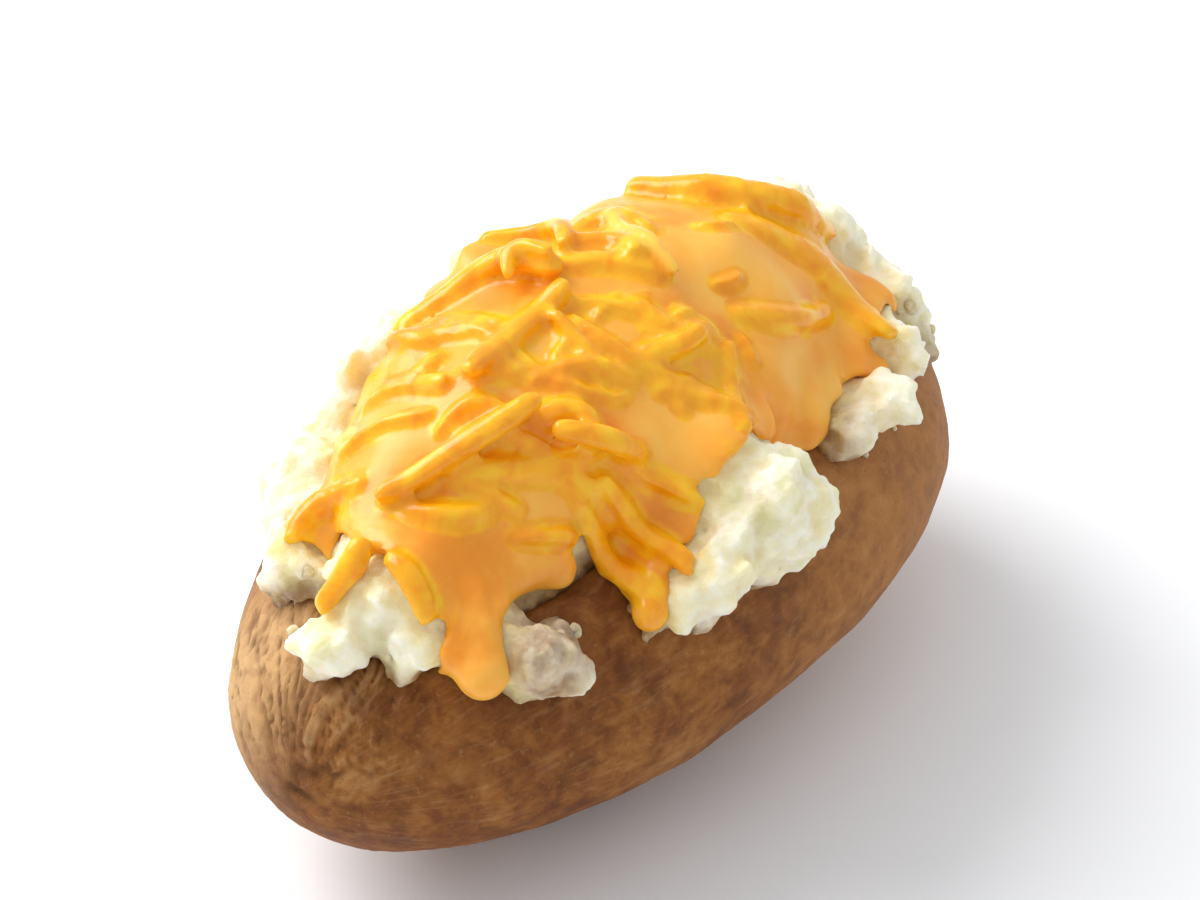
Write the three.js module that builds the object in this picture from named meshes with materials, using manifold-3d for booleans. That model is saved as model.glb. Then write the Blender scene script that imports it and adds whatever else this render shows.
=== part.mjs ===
// A loaded baked potato: a whole russet split open along its top, its mashed flesh heaped up out of
// the skin, a pale cheese sauce poured over the heap and strips of cheddar lying melted in the sauce.
// Millimetres, +Z up, the potato's long axis along X, the floor at z = 0.
// Every skin-like piece is a sphere's grid of rows and columns that is drawn out onto its own form.

import * as THREE from 'three';
import { mergeVertices } from 'three/addons/utils/BufferGeometryUtils.js';
import { ImprovedNoise } from 'three/addons/math/ImprovedNoise.js';
import Module from 'manifold-3d';

const wasm = await Module();
wasm.setup();

// ---- Driving dimensions -------------------------------------------------------------------------

// The whole potato before it was split.
const HALF_LENGTH = 65;
const HALF_WIDTH = 37.5;
const HALF_HEIGHT = 27.5;
const LENGTH_ROUNDNESS = 2.12; // 2 is an ellipse from end to end, more is blunter
const SECTION_ROUNDNESS = 1.85; // 2 is an ellipse across, less is slimmer at the shoulders
const TAPER = 0.147; // how much wider the +X half is
const REST_SINK = 0.7; // how deep the underside has settled into its small flat
const CENTRE_HEIGHT = HALF_HEIGHT - REST_SINK;
const LUMP_DEPTH = 0.7; // slow swellings of the skin
const LUMP_LENGTH = 26;

// The skin, a boat open at the top.
const SKIN = 2.2; // thickness, with the firm flesh that stays on it
const RIM_HEIGHT = 45.5; // above the floor, along the sides
const RIM_DROP = 7; // how much lower the rim is at the +X end
const NEAR_RIM_DROP = 1.5; // and at the -X end
const RIM_WAVE = 1.3;
const RIM_ROUND = 0.7;
const SKIN_COLUMNS = 56;
const SKIN_ROWS = 18;
const SKIN_OUTER_ROWS = 10; // rows from the underside up to the rim
const INNER_START = 0.5; // angle from straight down of the lowest row inside, in radians

// The flesh: what fills the skin, the mound on top of it, and the lobes that spill over the rim.
const MOUND_CENTRE = new THREE.Vector3(2, 1, 38);
const MOUND_HALF = new THREE.Vector3(51, 24, 28.5);
const SPINE_HALF = 46; // the line that the flesh is drawn out from
const SPINE_Y = 2;
const SPINE_Z = 34;
const FLESH_REACH = 62;
const FLESH_COLUMNS = 48;
const FLESH_ROWS = 42;
const HEAP_ARC = 215; // degrees round the spine that the open heap takes, centred on its crest
const HEAP_COLUMNS = 0.82; // share of the columns that this arc gets; the rest lie in the skin
const LOBE_BLEND = 1.6; // width of the crease between two lobes
const CRUMB_DEPTH = 1.0;
const CRUMB_LENGTH = 6.5;
const FINE_CRUMB_DEPTH = 0.55;
const FINE_CRUMB_LENGTH = 3.4;

const GAP = 0.35; // clearance between two pieces that touch

// The large lobes of mash, each a ball: over the front rim, at the ends and along the far edge.
const LOBES = [
  { x: -3, y: -31, z: 48, radius: 8.5 },
  { x: -14, y: -31, z: 46, radius: 6 },
  { x: -20, y: -30, z: 44, radius: 4 },
  { x: -3, y: -24, z: 51, radius: 7.5 },
  { x: -8, y: -33, z: 42, radius: 3.5 },
  { x: 6, y: -32, z: 44, radius: 4 },
  { x: -47, y: -4, z: 50, radius: 7 },
  { x: -54, y: -1, z: 46, radius: 5 },
  { x: -51, y: -10, z: 46, radius: 4.5 },
  { x: -44, y: 2, z: 50, radius: 5.5 },
  { x: -46, y: -9, z: 48, radius: 5 },
  { x: -41.5, y: -23, z: 44, radius: 5.3 },
  { x: -45, y: -22, z: 41, radius: 3 },
  { x: -43, y: -17, z: 45, radius: 4.5 },
  { x: -36, y: -22.5, z: 44, radius: 3 },
  { x: -31, y: 22, z: 45.5, radius: 5.5 },
  { x: -47, y: 12, z: 45, radius: 4.5 },
  { x: -27, y: 22.5, z: 47.5, radius: 5 },
  { x: -36, y: 18.5, z: 44.5, radius: 5 },
  { x: -16, y: 22, z: 55, radius: 5.5 },
  { x: -21, y: 22.5, z: 51.5, radius: 5 },
  { x: 2, y: 20, z: 61, radius: 5 },
  { x: -8, y: 21, z: 58, radius: 5 },
  { x: 50, y: -13, z: 44, radius: 6 },
  { x: 50.5, y: -17.5, z: 40, radius: 4 },
  { x: 26, y: -28, z: 46, radius: 5 },
  { x: 21, y: -29, z: 45, radius: 3 },
  { x: 38, y: -24, z: 46, radius: 5.5 },
  { x: 46, y: 0, z: 55.5, radius: 5 },
  { x: 50.5, y: -4, z: 50, radius: 4 },
  { x: 55, y: -5, z: 44, radius: 5 },
  { x: 52, y: 5, z: 46, radius: 7 },
  { x: 45, y: 9, z: 50, radius: 7 },
];

// The far side of the heap spills over its rim in the same way, by rule, and smaller lobes cover it.
const SPILL_LOBES = 11;
const SPILL_SIZE = [3.5, 5.8];
const SPILL_TURNS = [18, 158]; // degrees round the middle, 90 to the back
const SURFACE_LOBES = 46;
const SURFACE_LOBE_SIZE = [3.2, 5.6];
const LOBE_SINK = 0.012; // share of the mound that a lobe's middle lies in, for each mm of its radius
const GOLDEN_TURN = Math.PI * (3 - Math.sqrt(5)); // spreads the lobes evenly

// The cheese sauce.
const SAUCE = 2.6; // thickness of the sheet
const SAUCE_EDGE = 3.2; // how far in from its edge the sheet has its full thickness
const SAUCE_TUCK = 1.6; // how far under the flesh the form dives where there is no sauce
const SAUCE_BULB = 0.9; // how much thicker a drip is at its end
const SAUCE_COLUMNS = 52;
const SAUCE_ROWS = 50;
const SAUCE_SMOOTHING = 3;
const BUMP_SHOWING = 1.1; // how far a lump of flesh may rise into the sheet
const EDGE_WANDER = 1.2; // how far the sheet's edge strays in and out
const EDGE_WANDER_LENGTH = 8;

// The sauce covers what lies near its flows. Each flow runs from one place on the heap to another and
// reaches out by `wide` where it starts and by `end` where it ends. A drip swells at its end.
const FLOWS = [
  { name: 'crest', from: [-26, 6, 63], to: [34, -5, 60], wide: 16, end: 11 },
  { name: 'back', from: [-6, 14, 64], to: [20, 10, 64], wide: 9, end: 8 },
  { name: 'front', from: [-37, -4, 57], to: [31, -14, 53], wide: 12, end: 10 },
  { name: 'middle', from: [-17, -15, 54], to: [-8, -21, 55], wide: 8, end: 6 },
  { name: 'right', from: [36, -8, 58], to: [42, -12, 49], wide: 7, end: 5 },
  { name: 'near', from: [-38, 2, 56], to: [-45, -9, 54], wide: 9, end: 6 },
  { name: 'near_corner', from: [-33, -12, 52], to: [-30, -17, 50], wide: 6, end: 4 },
  { name: 'left_branch', from: [-38, 10, 55], to: [-45, 13, 50], wide: 6, end: 3.4 },
  { name: 'far_edge', from: [44, -15, 48], to: [37, -19, 50], wide: 5, end: 3 },
  { name: 'near_drip', from: [-44, -12, 53], to: [-48, -17, 43.5], wide: 6.5, end: 4, drip: true },
  { name: 'middle_drip', from: [-16, -21, 48], to: [-25, -28, 42.5], wide: 5, end: 2.8, drip: true },
  { name: 'middle_side', from: [-16, -21, 48], to: [-19, -29, 47], wide: 3.5, end: 2.2, drip: true },
  { name: 'right_drip', from: [24, -17, 51], to: [16.5, -23.5, 48], wide: 6, end: 3.8, drip: true },
  { name: 'right_hollow', from: [14, -20, 56], to: [11.5, -23, 51], wide: 5, end: 4 },
  { name: 'right_small', from: [9, -21, 55], to: [2, -25, 57], wide: 3.5, end: 2.6, drip: true },
  { name: 'lobe_side', from: [2, -21, 58], to: [-7, -27, 56], wide: 4, end: 3.2 },
  { name: 'back_drip', from: [2, 16, 61], to: [0, 26, 49], wide: 6, end: 3.8, drip: true },
  { name: 'back_drip_right', from: [26, 14, 58], to: [29, 25, 47], wide: 7, end: 4.2, drip: true },
].map((flow) => ({
  ...flow,
  line: new THREE.Line3(new THREE.Vector3(...flow.from), new THREE.Vector3(...flow.to)),
}));

// The cheddar: strips of grated cheese, each laid on the heap with its middle at `x` and `turn`. The
// turn goes round the spine in degrees: 0 faces the front (-Y), 90 is the crest, 180 faces the back.
// The heading is 0 along +X and 90 towards the back. `bend` bows the strip out to its left.
const SHRED_SUNK = 0.32; // share of a strip's depth from its middle down to what it lies on
const SHRED_STEP = 3.7; // length of one straight piece of a strip
const SHRED_END = 0.72; // how much slimmer a strip is at its ends
const SHRED_FLAT = 0.62; // share of a strip's width that is flat on top and underneath
const SHRED_CLEAR = 0.6; // a strip climbs when this near one that it crosses, in widths of both
const SHRED_EASE = 10; // rounds of evening out its climb
const SHREDS = [
  { x: 31.5, turn: 55.5, heading: -70, length: 26, bend: 4, wide: 5, deep: 2.2 },
  { x: 22.5, turn: 53, heading: -25, length: 20, bend: -2, wide: 3, deep: 1.9 },
  { x: 4, turn: 68, heading: -60, length: 10, bend: -3.5, wide: 3.6, deep: 2.4 },
  { x: 0, turn: 64, heading: -20, length: 10, bend: -1.5, wide: 3, deep: 2.2 },
  { x: 2.5, turn: 88, heading: -55, length: 19, bend: 1.5, wide: 3.6, deep: 2.4 },
  { x: 6.5, turn: 89, heading: -85, length: 9, bend: 3, wide: 3, deep: 2.2 },
  { x: 12.5, turn: 95, heading: -55, length: 11, bend: 5.5, wide: 3.6, deep: 2.6 },
  { x: -8.5, turn: 107, heading: -55, length: 23, bend: 4, wide: 3.8, deep: 2.8 },
  { x: 3, turn: 107, heading: -98, length: 15, bend: 6, wide: 2.4, deep: 2.2 },
  { x: -5, turn: 95, heading: -30, length: 6, bend: 4, wide: 2.4, deep: 2 },
  { x: -18.5, turn: 113, heading: -95, length: 8, bend: 0, wide: 2.6, deep: 2.2 },
  { x: -13, turn: 104, heading: -90, length: 12, bend: 0, wide: 2.2, deep: 1.8 },
  { x: -20.5, turn: 86, heading: -50, length: 8, bend: 0, wide: 3.2, deep: 2.2 },
  { x: -26.5, turn: 106, heading: -80, length: 14, bend: 1, wide: 3, deep: 2.4 },
  { x: -32, turn: 124, heading: -120, length: 11, bend: 1, wide: 2.2, deep: 2 },
  { x: -43.5, turn: 110, heading: -40, length: 10, bend: 3, wide: 3, deep: 2.4 },
  { x: -37.5, turn: 74, heading: -55, length: 11, bend: -2, wide: 2.6, deep: 2 },
  { x: -49, turn: 63, heading: -100, length: 10, bend: 0, wide: 3, deep: 2.2 },
  { x: -26, turn: 69, heading: -40, length: 21, bend: -3, wide: 3, deep: 2.4 },
  { x: -21, turn: 64, heading: -75, length: 8, bend: 4, wide: 3.6, deep: 2.4 },
  { x: -19, turn: 57, heading: -45, length: 13, bend: 0, wide: 3.2, deep: 2.2 },
  { x: -27, turn: 77, heading: 160, length: 10, bend: 0, wide: 2.8, deep: 2.2 },
  { x: -32, turn: 81, heading: 155, length: 21, bend: 1.5, wide: 3, deep: 2.4 },
  { x: -14.5, turn: 87, heading: 180, length: 21, bend: -1, wide: 3.4, deep: 2.6 },
  { x: 3, turn: 48, heading: -135, length: 13, bend: 0, wide: 2.6, deep: 2 },
  { x: -3.5, turn: 56, heading: -25, length: 6, bend: 0, wide: 2.8, deep: 2 },
  { x: -24.5, turn: 30, heading: -90, length: 13, bend: 1, wide: 3, deep: 2.2 },
  { x: -20.5, turn: 35, heading: -85, length: 15, bend: 1.5, wide: 2.8, deep: 2.2 },
  { x: -9.5, turn: 75, heading: -95, length: 12, bend: -0.5, wide: 1.8, deep: 1.6 },
  { x: 12, turn: 86, heading: -115, length: 17, bend: -1, wide: 1.8, deep: 1.6 },
  { x: 38, turn: 87, heading: -50, length: 30, bend: -4, wide: 4, deep: 3.2 },
  { x: -51, turn: 86, heading: -15, length: 7, bend: -1, wide: 3.6, deep: 3 },
];

// More strips lie down the back of the heap, by rule.
const BACK_SHREDS = 3;
const BACK_SPAN = [6, 42]; // along X
const BACK_TURNS = [126, 142];
const BACK_LENGTHS = [11, 19];
const BACK_WIDTHS = [2.6, 3.4];
const BACK_DEPTH = 2.2;
const BACK_HEADINGS = [30, 150];
const BACK_BEND = 3;

// ---- Chance, noise and small sums ---------------------------------------------------------------

const noise = new ImprovedNoise();

/** A seeded source of random numbers from 0 to 1, the same on every run. */
function chance(seed) {
  let state = seed;
  return () => {
    state = (Math.imul(state, 1664525) + 1013904223) >>> 0;
    return state / 4294967296;
  };
}

/** Smooth noise in the range -1 to 1 at a point, with waves of about the given length. */
function waves(p, length, shift = 0) {
  return noise.noise(p.x / length + shift, p.y / length + shift, p.z / length - shift);
}

/** The smaller of two distances, rounded over where they meet. */
function softMin(a, b, blend) {
  const share = THREE.MathUtils.clamp(0.5 + (b - a) / (2 * blend), 0, 1);
  return b + (a - b) * share - blend * share * (1 - share);
}

// ---- The forms, as distances that are negative inside -------------------------------------------

/** The whole potato, made smaller all round by `shrink`. */
function potatoField(p, shrink) {
  const along = p.x / (HALF_LENGTH - shrink);
  if (Math.abs(along) >= 1) {
    return Math.hypot(Math.abs(p.x) - HALF_LENGTH + shrink, p.y, p.z - CENTRE_HEIGHT);
  }
  const girth = (1 - Math.abs(along) ** LENGTH_ROUNDNESS) ** (1 / LENGTH_ROUNDNESS);
  const halfWidth = (HALF_WIDTH - shrink) * girth * (1 + TAPER * along);
  const halfHeight = (HALF_HEIGHT - shrink) * girth;
  const y = Math.abs(p.y / halfWidth) ** SECTION_ROUNDNESS;
  const z = Math.abs((p.z - CENTRE_HEIGHT) / halfHeight) ** SECTION_ROUNDNESS;
  const swell = LUMP_DEPTH * waves(p, LUMP_LENGTH);
  return ((y + z) ** (1 / SECTION_ROUNDNESS) - 1) * Math.min(halfWidth, halfHeight) - swell * girth;
}

/** The mound of mash, an ellipsoid. */
function moundField(p) {
  const q = p.clone().sub(MOUND_CENTRE).divide(MOUND_HALF);
  const k = q.length();
  return (k * (k - 1)) / q.divide(MOUND_HALF).length();
}

/** Lobes by rule: a row of them over the far rim, then smaller ones all over the mound. */
function seededLobes() {
  const draw = chance(41);
  const sizeIn = ([low, high]) => low + (high - low) * draw();
  const lobes = [];
  for (let i = 0; i < SPILL_LOBES; i += 1) {
    const share = (i + draw() / 2) / SPILL_LOBES;
    const turn = THREE.MathUtils.degToRad(THREE.MathUtils.lerp(...SPILL_TURNS, share));
    lobes.push({
      x: MOUND_HALF.x * Math.cos(turn),
      y: MOUND_HALF.y * Math.sin(turn) + MOUND_CENTRE.y,
      z: RIM_HEIGHT - 1 + 2 * draw() - 4 * Math.max(0, Math.cos(turn)),
      radius: sizeIn(SPILL_SIZE),
    });
  }
  for (let i = 0; i < SURFACE_LOBES; i += 1) {
    const lift = (i + 0.5) / SURFACE_LOBES;
    const turn = i * GOLDEN_TURN;
    const ring = Math.sqrt(1 - lift * lift);
    const radius = sizeIn(SURFACE_LOBE_SIZE);
    const sunk = 1 - radius * LOBE_SINK;
    lobes.push({
      x: MOUND_CENTRE.x + MOUND_HALF.x * ring * Math.cos(turn) * sunk,
      y: MOUND_CENTRE.y + MOUND_HALF.y * ring * Math.sin(turn) * sunk,
      z: MOUND_CENTRE.z + MOUND_HALF.z * lift * sunk,
      radius,
    });
  }
  return lobes;
}

const allLobes = [...LOBES, ...seededLobes()].map((lobe) => ({
  centre: new THREE.Vector3(lobe.x, lobe.y, lobe.z),
  radius: lobe.radius,
}));

/** The flesh: potato inside the skin, mound and lobes run together, with a crumbly surface. */
function fleshField(p) {
  let distance = softMin(moundField(p), potatoField(p, SKIN / 2), LOBE_BLEND);
  for (const lobe of allLobes) {
    const reach = p.distanceTo(lobe.centre) - lobe.radius;
    if (reach < distance + LOBE_BLEND) {
      distance = softMin(distance, reach, LOBE_BLEND);
    }
  }
  const crumbs = CRUMB_DEPTH * waves(p, CRUMB_LENGTH) + FINE_CRUMB_DEPTH * waves(p, FINE_CRUMB_LENGTH, 9);
  return distance - crumbs;
}

// ---- Meshes -------------------------------------------------------------------------------------

/** Draws a sphere's grid out onto a form; place(u, v) gives the point for column u and row v. */
function drawnOut(columns, rows, place) {
  const sphere = new THREE.SphereGeometry(1, columns, rows);
  const { position, uv } = sphere.attributes;
  for (let i = 0; i < position.count; i += 1) {
    const row = Math.round((1 - uv.getY(i)) * rows) / rows;
    const column = row === 0 || row === 1 ? 0 : (Math.round(uv.getX(i) * columns) % columns) / columns;
    const point = place(column, row);
    position.setXYZ(i, point.x, point.y, point.z);
  }
  sphere.deleteAttribute('normal');
  sphere.deleteAttribute('uv');
  return mergeVertices(sphere, 1e-4);
}

/** A closed mesh as a solid that can be joined and cut. */
function solidOf(geometry) {
  return new wasm.Manifold(new wasm.Mesh({
    numProp: 3,
    vertProperties: new Float32Array(geometry.attributes.position.array),
    triVerts: new Uint32Array(geometry.index.array),
  }));
}

/** The solid of a mesh that is larger all round by `amount`. */
function grown(geometry, amount) {
  const copy = geometry.clone();
  copy.computeVertexNormals();
  const { position, normal } = copy.attributes;
  for (let i = 0; i < position.count; i += 1) {
    position.setXYZ(
      i,
      position.getX(i) + normal.getX(i) * amount,
      position.getY(i) + normal.getY(i) * amount,
      position.getZ(i) + normal.getZ(i) * amount,
    );
  }
  return solidOf(copy);
}

/** The largest body of a solid, without the scraps that cutting leaves. */
function largest(solid) {
  return solid.decompose().sort((a, b) => b.volume() - a.volume())[0];
}

/** A solid as a geometry for a mesh. */
function geometryOf(solid) {
  const mesh = solid.getMesh();
  const geometry = new THREE.BufferGeometry();
  geometry.setAttribute('position', new THREE.BufferAttribute(mesh.vertProperties, 3));
  geometry.setIndex(new THREE.BufferAttribute(mesh.triVerts, 1));
  return geometry;
}

/** How far along a ray a form ends, looking from `far` back towards the ray's start. */
function edgeAlong(start, direction, far, field) {
  const at = (reach) => field(start.clone().addScaledVector(direction, reach));
  let outside = far;
  let inside = far - 1;
  while (inside > 0 && at(inside) > 0) {
    outside = inside;
    inside -= 1;
  }
  for (let i = 0; i < 12; i += 1) {
    const middle = (inside + outside) / 2;
    if (at(middle) > 0) {
      outside = middle;
    } else {
      inside = middle;
    }
  }
  return outside;
}

// ---- The skin -----------------------------------------------------------------------------------

/** Height of the torn rim at a turn about the middle of the potato. */
function rimHeight(turn) {
  const drop = RIM_DROP * Math.max(0, Math.cos(turn)) ** 3;
  const wave = Math.sin(3 * turn + 1.1) + 0.6 * Math.sin(8 * turn) + 0.4 * Math.sin(15 * turn + 2);
  const nearDrop = NEAR_RIM_DROP * Math.max(0, -Math.cos(turn)) ** 4;
  return RIM_HEIGHT - drop - nearDrop + (RIM_WAVE * wave) / 2;
}

/** A point of the potato's side at a height and a turn, on the form made smaller by `shrink`. */
function sidePoint(turn, height, shrink) {
  const start = new THREE.Vector3(0, 0, height);
  const direction = new THREE.Vector3(HALF_LENGTH * Math.cos(turn), HALF_WIDTH * Math.sin(turn), 0);
  direction.normalize();
  const reach = edgeAlong(start, direction, HALF_LENGTH + 3, (p) => potatoField(p, shrink));
  return start.addScaledVector(direction, reach);
}

/** Rows run from the underside up the outside, over the rim and down the inside. */
function skinPoint(u, v) {
  const turn = -2 * Math.PI * u;
  const row = Math.round(v * SKIN_ROWS);
  const rim = rimHeight(turn);
  const outside = row <= SKIN_OUTER_ROWS;
  if (row === 0) {
    return new THREE.Vector3(0, 0, 0);
  }
  if (row === SKIN_ROWS) {
    return new THREE.Vector3(0, 0, SKIN);
  }
  if (row === SKIN_OUTER_ROWS + 1) {
    return sidePoint(turn, rim, SKIN / 2);
  }
  const shrink = outside ? 0 : SKIN;
  const half = HALF_HEIGHT - shrink;
  const lowest = outside ? Math.acos(CENTRE_HEIGHT / half) : INNER_START;
  const highest = Math.acos((CENTRE_HEIGHT - rim + RIM_ROUND) / half);
  const rows = outside ? SKIN_OUTER_ROWS - 1 : SKIN_ROWS - SKIN_OUTER_ROWS - 3;
  const step = outside ? row - 1 : SKIN_ROWS - 1 - row;
  const angle = THREE.MathUtils.lerp(lowest, highest, step / rows);
  return sidePoint(turn, CENTRE_HEIGHT - half * Math.cos(angle), shrink);
}

// ---- The flesh ----------------------------------------------------------------------------------

/** Angle round the spine of column u, from straight down, with the columns crowded onto the heap. */
function roundOf(u) {
  const below = (360 - HEAP_ARC) / 2;
  const edge = (1 - HEAP_COLUMNS) / 2;
  const { mapLinear, degToRad } = THREE.MathUtils;
  if (u < edge) {
    return degToRad(mapLinear(u, 0, edge, 0, below));
  }
  if (u > 1 - edge) {
    return degToRad(mapLinear(u, 1 - edge, 1, 360 - below, 360));
  }
  return degToRad(mapLinear(u, edge, 1 - edge, below, 360 - below));
}

/** The ray for column u and row v, from the spine out: it leans over towards the ends. */
function spineRay(u, v) {
  const along = Math.PI * v;
  const round = roundOf(u);
  const lean = -(Math.cos(along) ** 3);
  return {
    start: new THREE.Vector3(-SPINE_HALF * Math.cos(along), SPINE_Y, SPINE_Z),
    direction: new THREE.Vector3(
      lean,
      -Math.sin(along) * Math.sin(round),
      -Math.sin(along) * Math.cos(round),
    ).normalize(),
  };
}

/** A point of the flesh's surface. */
function fleshPoint(u, v) {
  const { start, direction } = spineRay(u, v);
  const reach = edgeAlong(start, direction, FLESH_REACH, fleshField);
  return start.addScaledVector(direction, reach);
}

// ---- The sauce ----------------------------------------------------------------------------------

/** How far inside the poured sauce a point lies, in mm, and how near it is to a drip's end, 0 to 1. */
function poured(p) {
  let depth = -Infinity;
  let nearEnd = 0;
  const nearest = new THREE.Vector3();
  for (const flow of FLOWS) {
    const share = flow.line.closestPointToPointParameter(p, true);
    const away = flow.line.at(share, nearest).distanceTo(p);
    const inside = THREE.MathUtils.lerp(flow.wide, flow.end, share) - away;
    if (inside > depth) {
      depth = inside;
      nearEnd = flow.drip ? share : 0;
    }
  }
  return { depth: depth + EDGE_WANDER * waves(p, EDGE_WANDER_LENGTH, 3), nearEnd };
}

/** Evens out a grid of reaches by averaging each with its neighbours, round the columns. */
function smoothed(reaches, columns, rows, times) {
  let grid = reaches;
  for (let pass = 0; pass < times; pass += 1) {
    grid = grid.map((ring, j) => ring.map((reach, i) => {
      const above = grid[Math.max(j - 1, 0)][i];
      const below = grid[Math.min(j + 1, rows)][i];
      const left = ring[(i + columns - 1) % columns];
      const right = ring[(i + 1) % columns];
      return reach / 2 + (above + below + left + right) / 8;
    }));
  }
  return grid;
}

/** Reaches of the sauce's upper surface along each ray of a grid, and of what it lies on. */
function sauceReaches() {
  const support = [];
  for (let j = 0; j <= SAUCE_ROWS; j += 1) {
    support.push([]);
    for (let i = 0; i < SAUCE_COLUMNS; i += 1) {
      const { start, direction } = spineRay(i / SAUCE_COLUMNS, j / SAUCE_ROWS);
      const field = (p) => Math.min(fleshField(p), potatoField(p, 0));
      support[j].push(edgeAlong(start, direction, FLESH_REACH, field));
    }
  }
  const even = smoothed(support, SAUCE_COLUMNS, SAUCE_ROWS, SAUCE_SMOOTHING);
  const top = support.map((ring, j) => ring.map((reach, i) => {
    const { start, direction } = spineRay(i / SAUCE_COLUMNS, j / SAUCE_ROWS);
    const p = start.addScaledVector(direction, reach);
    const { depth, nearEnd } = poured(p);
    if (depth < 0) {
      return Math.min(even[j][i], reach) - Math.min(SAUCE_TUCK, -depth);
    }
    const rise = Math.sqrt(1 - (1 - Math.min(depth / SAUCE_EDGE, 1)) ** 2);
    return Math.max(even[j][i], reach - BUMP_SHOWING) + (SAUCE + SAUCE_BULB * nearEnd ** 2) * rise;
  }));
  return { support, top };
}

// ---- The cheddar --------------------------------------------------------------------------------

/** Column of the grid, counted in columns, at an angle round the spine from straight down. */
function columnAt(round) {
  let low = 0;
  let high = 1;
  for (let i = 0; i < 24; i += 1) {
    const middle = (low + high) / 2;
    if (roundOf(middle) < round) {
      low = middle;
    } else {
      high = middle;
    }
  }
  return low * SAUCE_COLUMNS;
}

/** Row of the grid, counted in rows, whose rays pass x at a distance from the spine. */
function rowAt(x, distance) {
  let low = 0.001;
  let high = 0.999;
  for (let i = 0; i < 24; i += 1) {
    const middle = (low + high) / 2;
    const { start, direction } = spineRay(0.5, middle);
    if (start.x + (direction.x * distance) / direction.z < x) {
      low = middle;
    } else {
      high = middle;
    }
  }
  return low * SAUCE_ROWS;
}

/** A value of a grid between its rows and columns. */
function between(grid, column, row) {
  const i = Math.floor(column);
  const j = Math.min(Math.floor(row), SAUCE_ROWS - 1);
  const next = (i + 1) % SAUCE_COLUMNS;
  const { lerp } = THREE.MathUtils;
  const low = lerp(grid[j][i % SAUCE_COLUMNS], grid[j][next], column - i);
  const high = lerp(grid[j + 1][i % SAUCE_COLUMNS], grid[j + 1][next], column - i);
  return lerp(low, high, row - j);
}

/** The top of the heap at x and a turn in degrees, and the way out from the spine there. */
function heapTop(x, turn, surface) {
  const column = columnAt(THREE.MathUtils.degToRad(turn + 90));
  let distance = 30;
  let point;
  let out;
  for (let i = 0; i < 4; i += 1) {
    const row = rowAt(x, distance);
    const { start, direction } = spineRay(column / SAUCE_COLUMNS, row / SAUCE_ROWS);
    out = direction;
    point = start.addScaledVector(direction, between(surface, column, row));
    distance = Math.hypot(point.y - SPINE_Y, point.z - SPINE_Z);
  }
  return { point, out, distance };
}

/** The strips down the back of the heap. */
function backShreds() {
  const draw = chance(7);
  const { lerp } = THREE.MathUtils;
  return Array.from({ length: BACK_SHREDS }, (_, i) => ({
    x: lerp(...BACK_SPAN, (i + 0.5) / BACK_SHREDS),
    turn: lerp(...BACK_TURNS, draw()),
    heading: lerp(...BACK_HEADINGS, draw()),
    length: lerp(...BACK_LENGTHS, draw()),
    bend: lerp(-BACK_BEND, BACK_BEND, draw()),
    wide: lerp(...BACK_WIDTHS, draw()),
    deep: BACK_DEPTH,
  }));
}

/** Evens out a row of heights. */
function eased(heights, times) {
  let row = heights;
  for (let pass = 0; pass < times; pass += 1) {
    row = row.map((height, i) => {
      const before = row[Math.max(i - 1, 0)];
      const after = row[Math.min(i + 1, row.length - 1)];
      return (before + 2 * height + after) / 4;
    });
  }
  return row;
}

/** The line that a strip follows over the heap, and over the strips laid before it, mm by mm. */
function layShred(shred, surface, laid) {
  const heading = THREE.MathUtils.degToRad(shred.heading);
  const { distance } = heapTop(shred.x, shred.turn, surface);
  const count = Math.round(shred.length);
  const line = [];
  for (let i = 0; i <= count; i += 1) {
    const along = (i / count - 0.5) * shred.length;
    const side = shred.bend * (1 - (2 * i / count - 1) ** 2);
    const x = shred.x + along * Math.cos(heading) - side * Math.sin(heading);
    const arc = along * Math.sin(heading) + side * Math.cos(heading);
    line.push(heapTop(x, shred.turn + THREE.MathUtils.radToDeg(arc / distance), surface));
  }
  const lifts = line.map(({ point }) => {
    let lift = shred.deep * SHRED_SUNK;
    for (const other of laid) {
      if (other.base.distanceTo(point) < (other.wide + shred.wide) * SHRED_CLEAR) {
        lift = Math.max(lift, other.lift + (other.deep + shred.deep) / 2);
      }
    }
    return lift;
  });
  const raised = eased(lifts, SHRED_EASE);
  line.forEach(({ point }, i) => {
    laid.push({ base: point.clone(), lift: raised[i], wide: shred.wide, deep: shred.deep });
  });
  return line.map(({ point, out }, i) => ({ point: point.clone().addScaledVector(out, raised[i]), out }));
}

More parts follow.
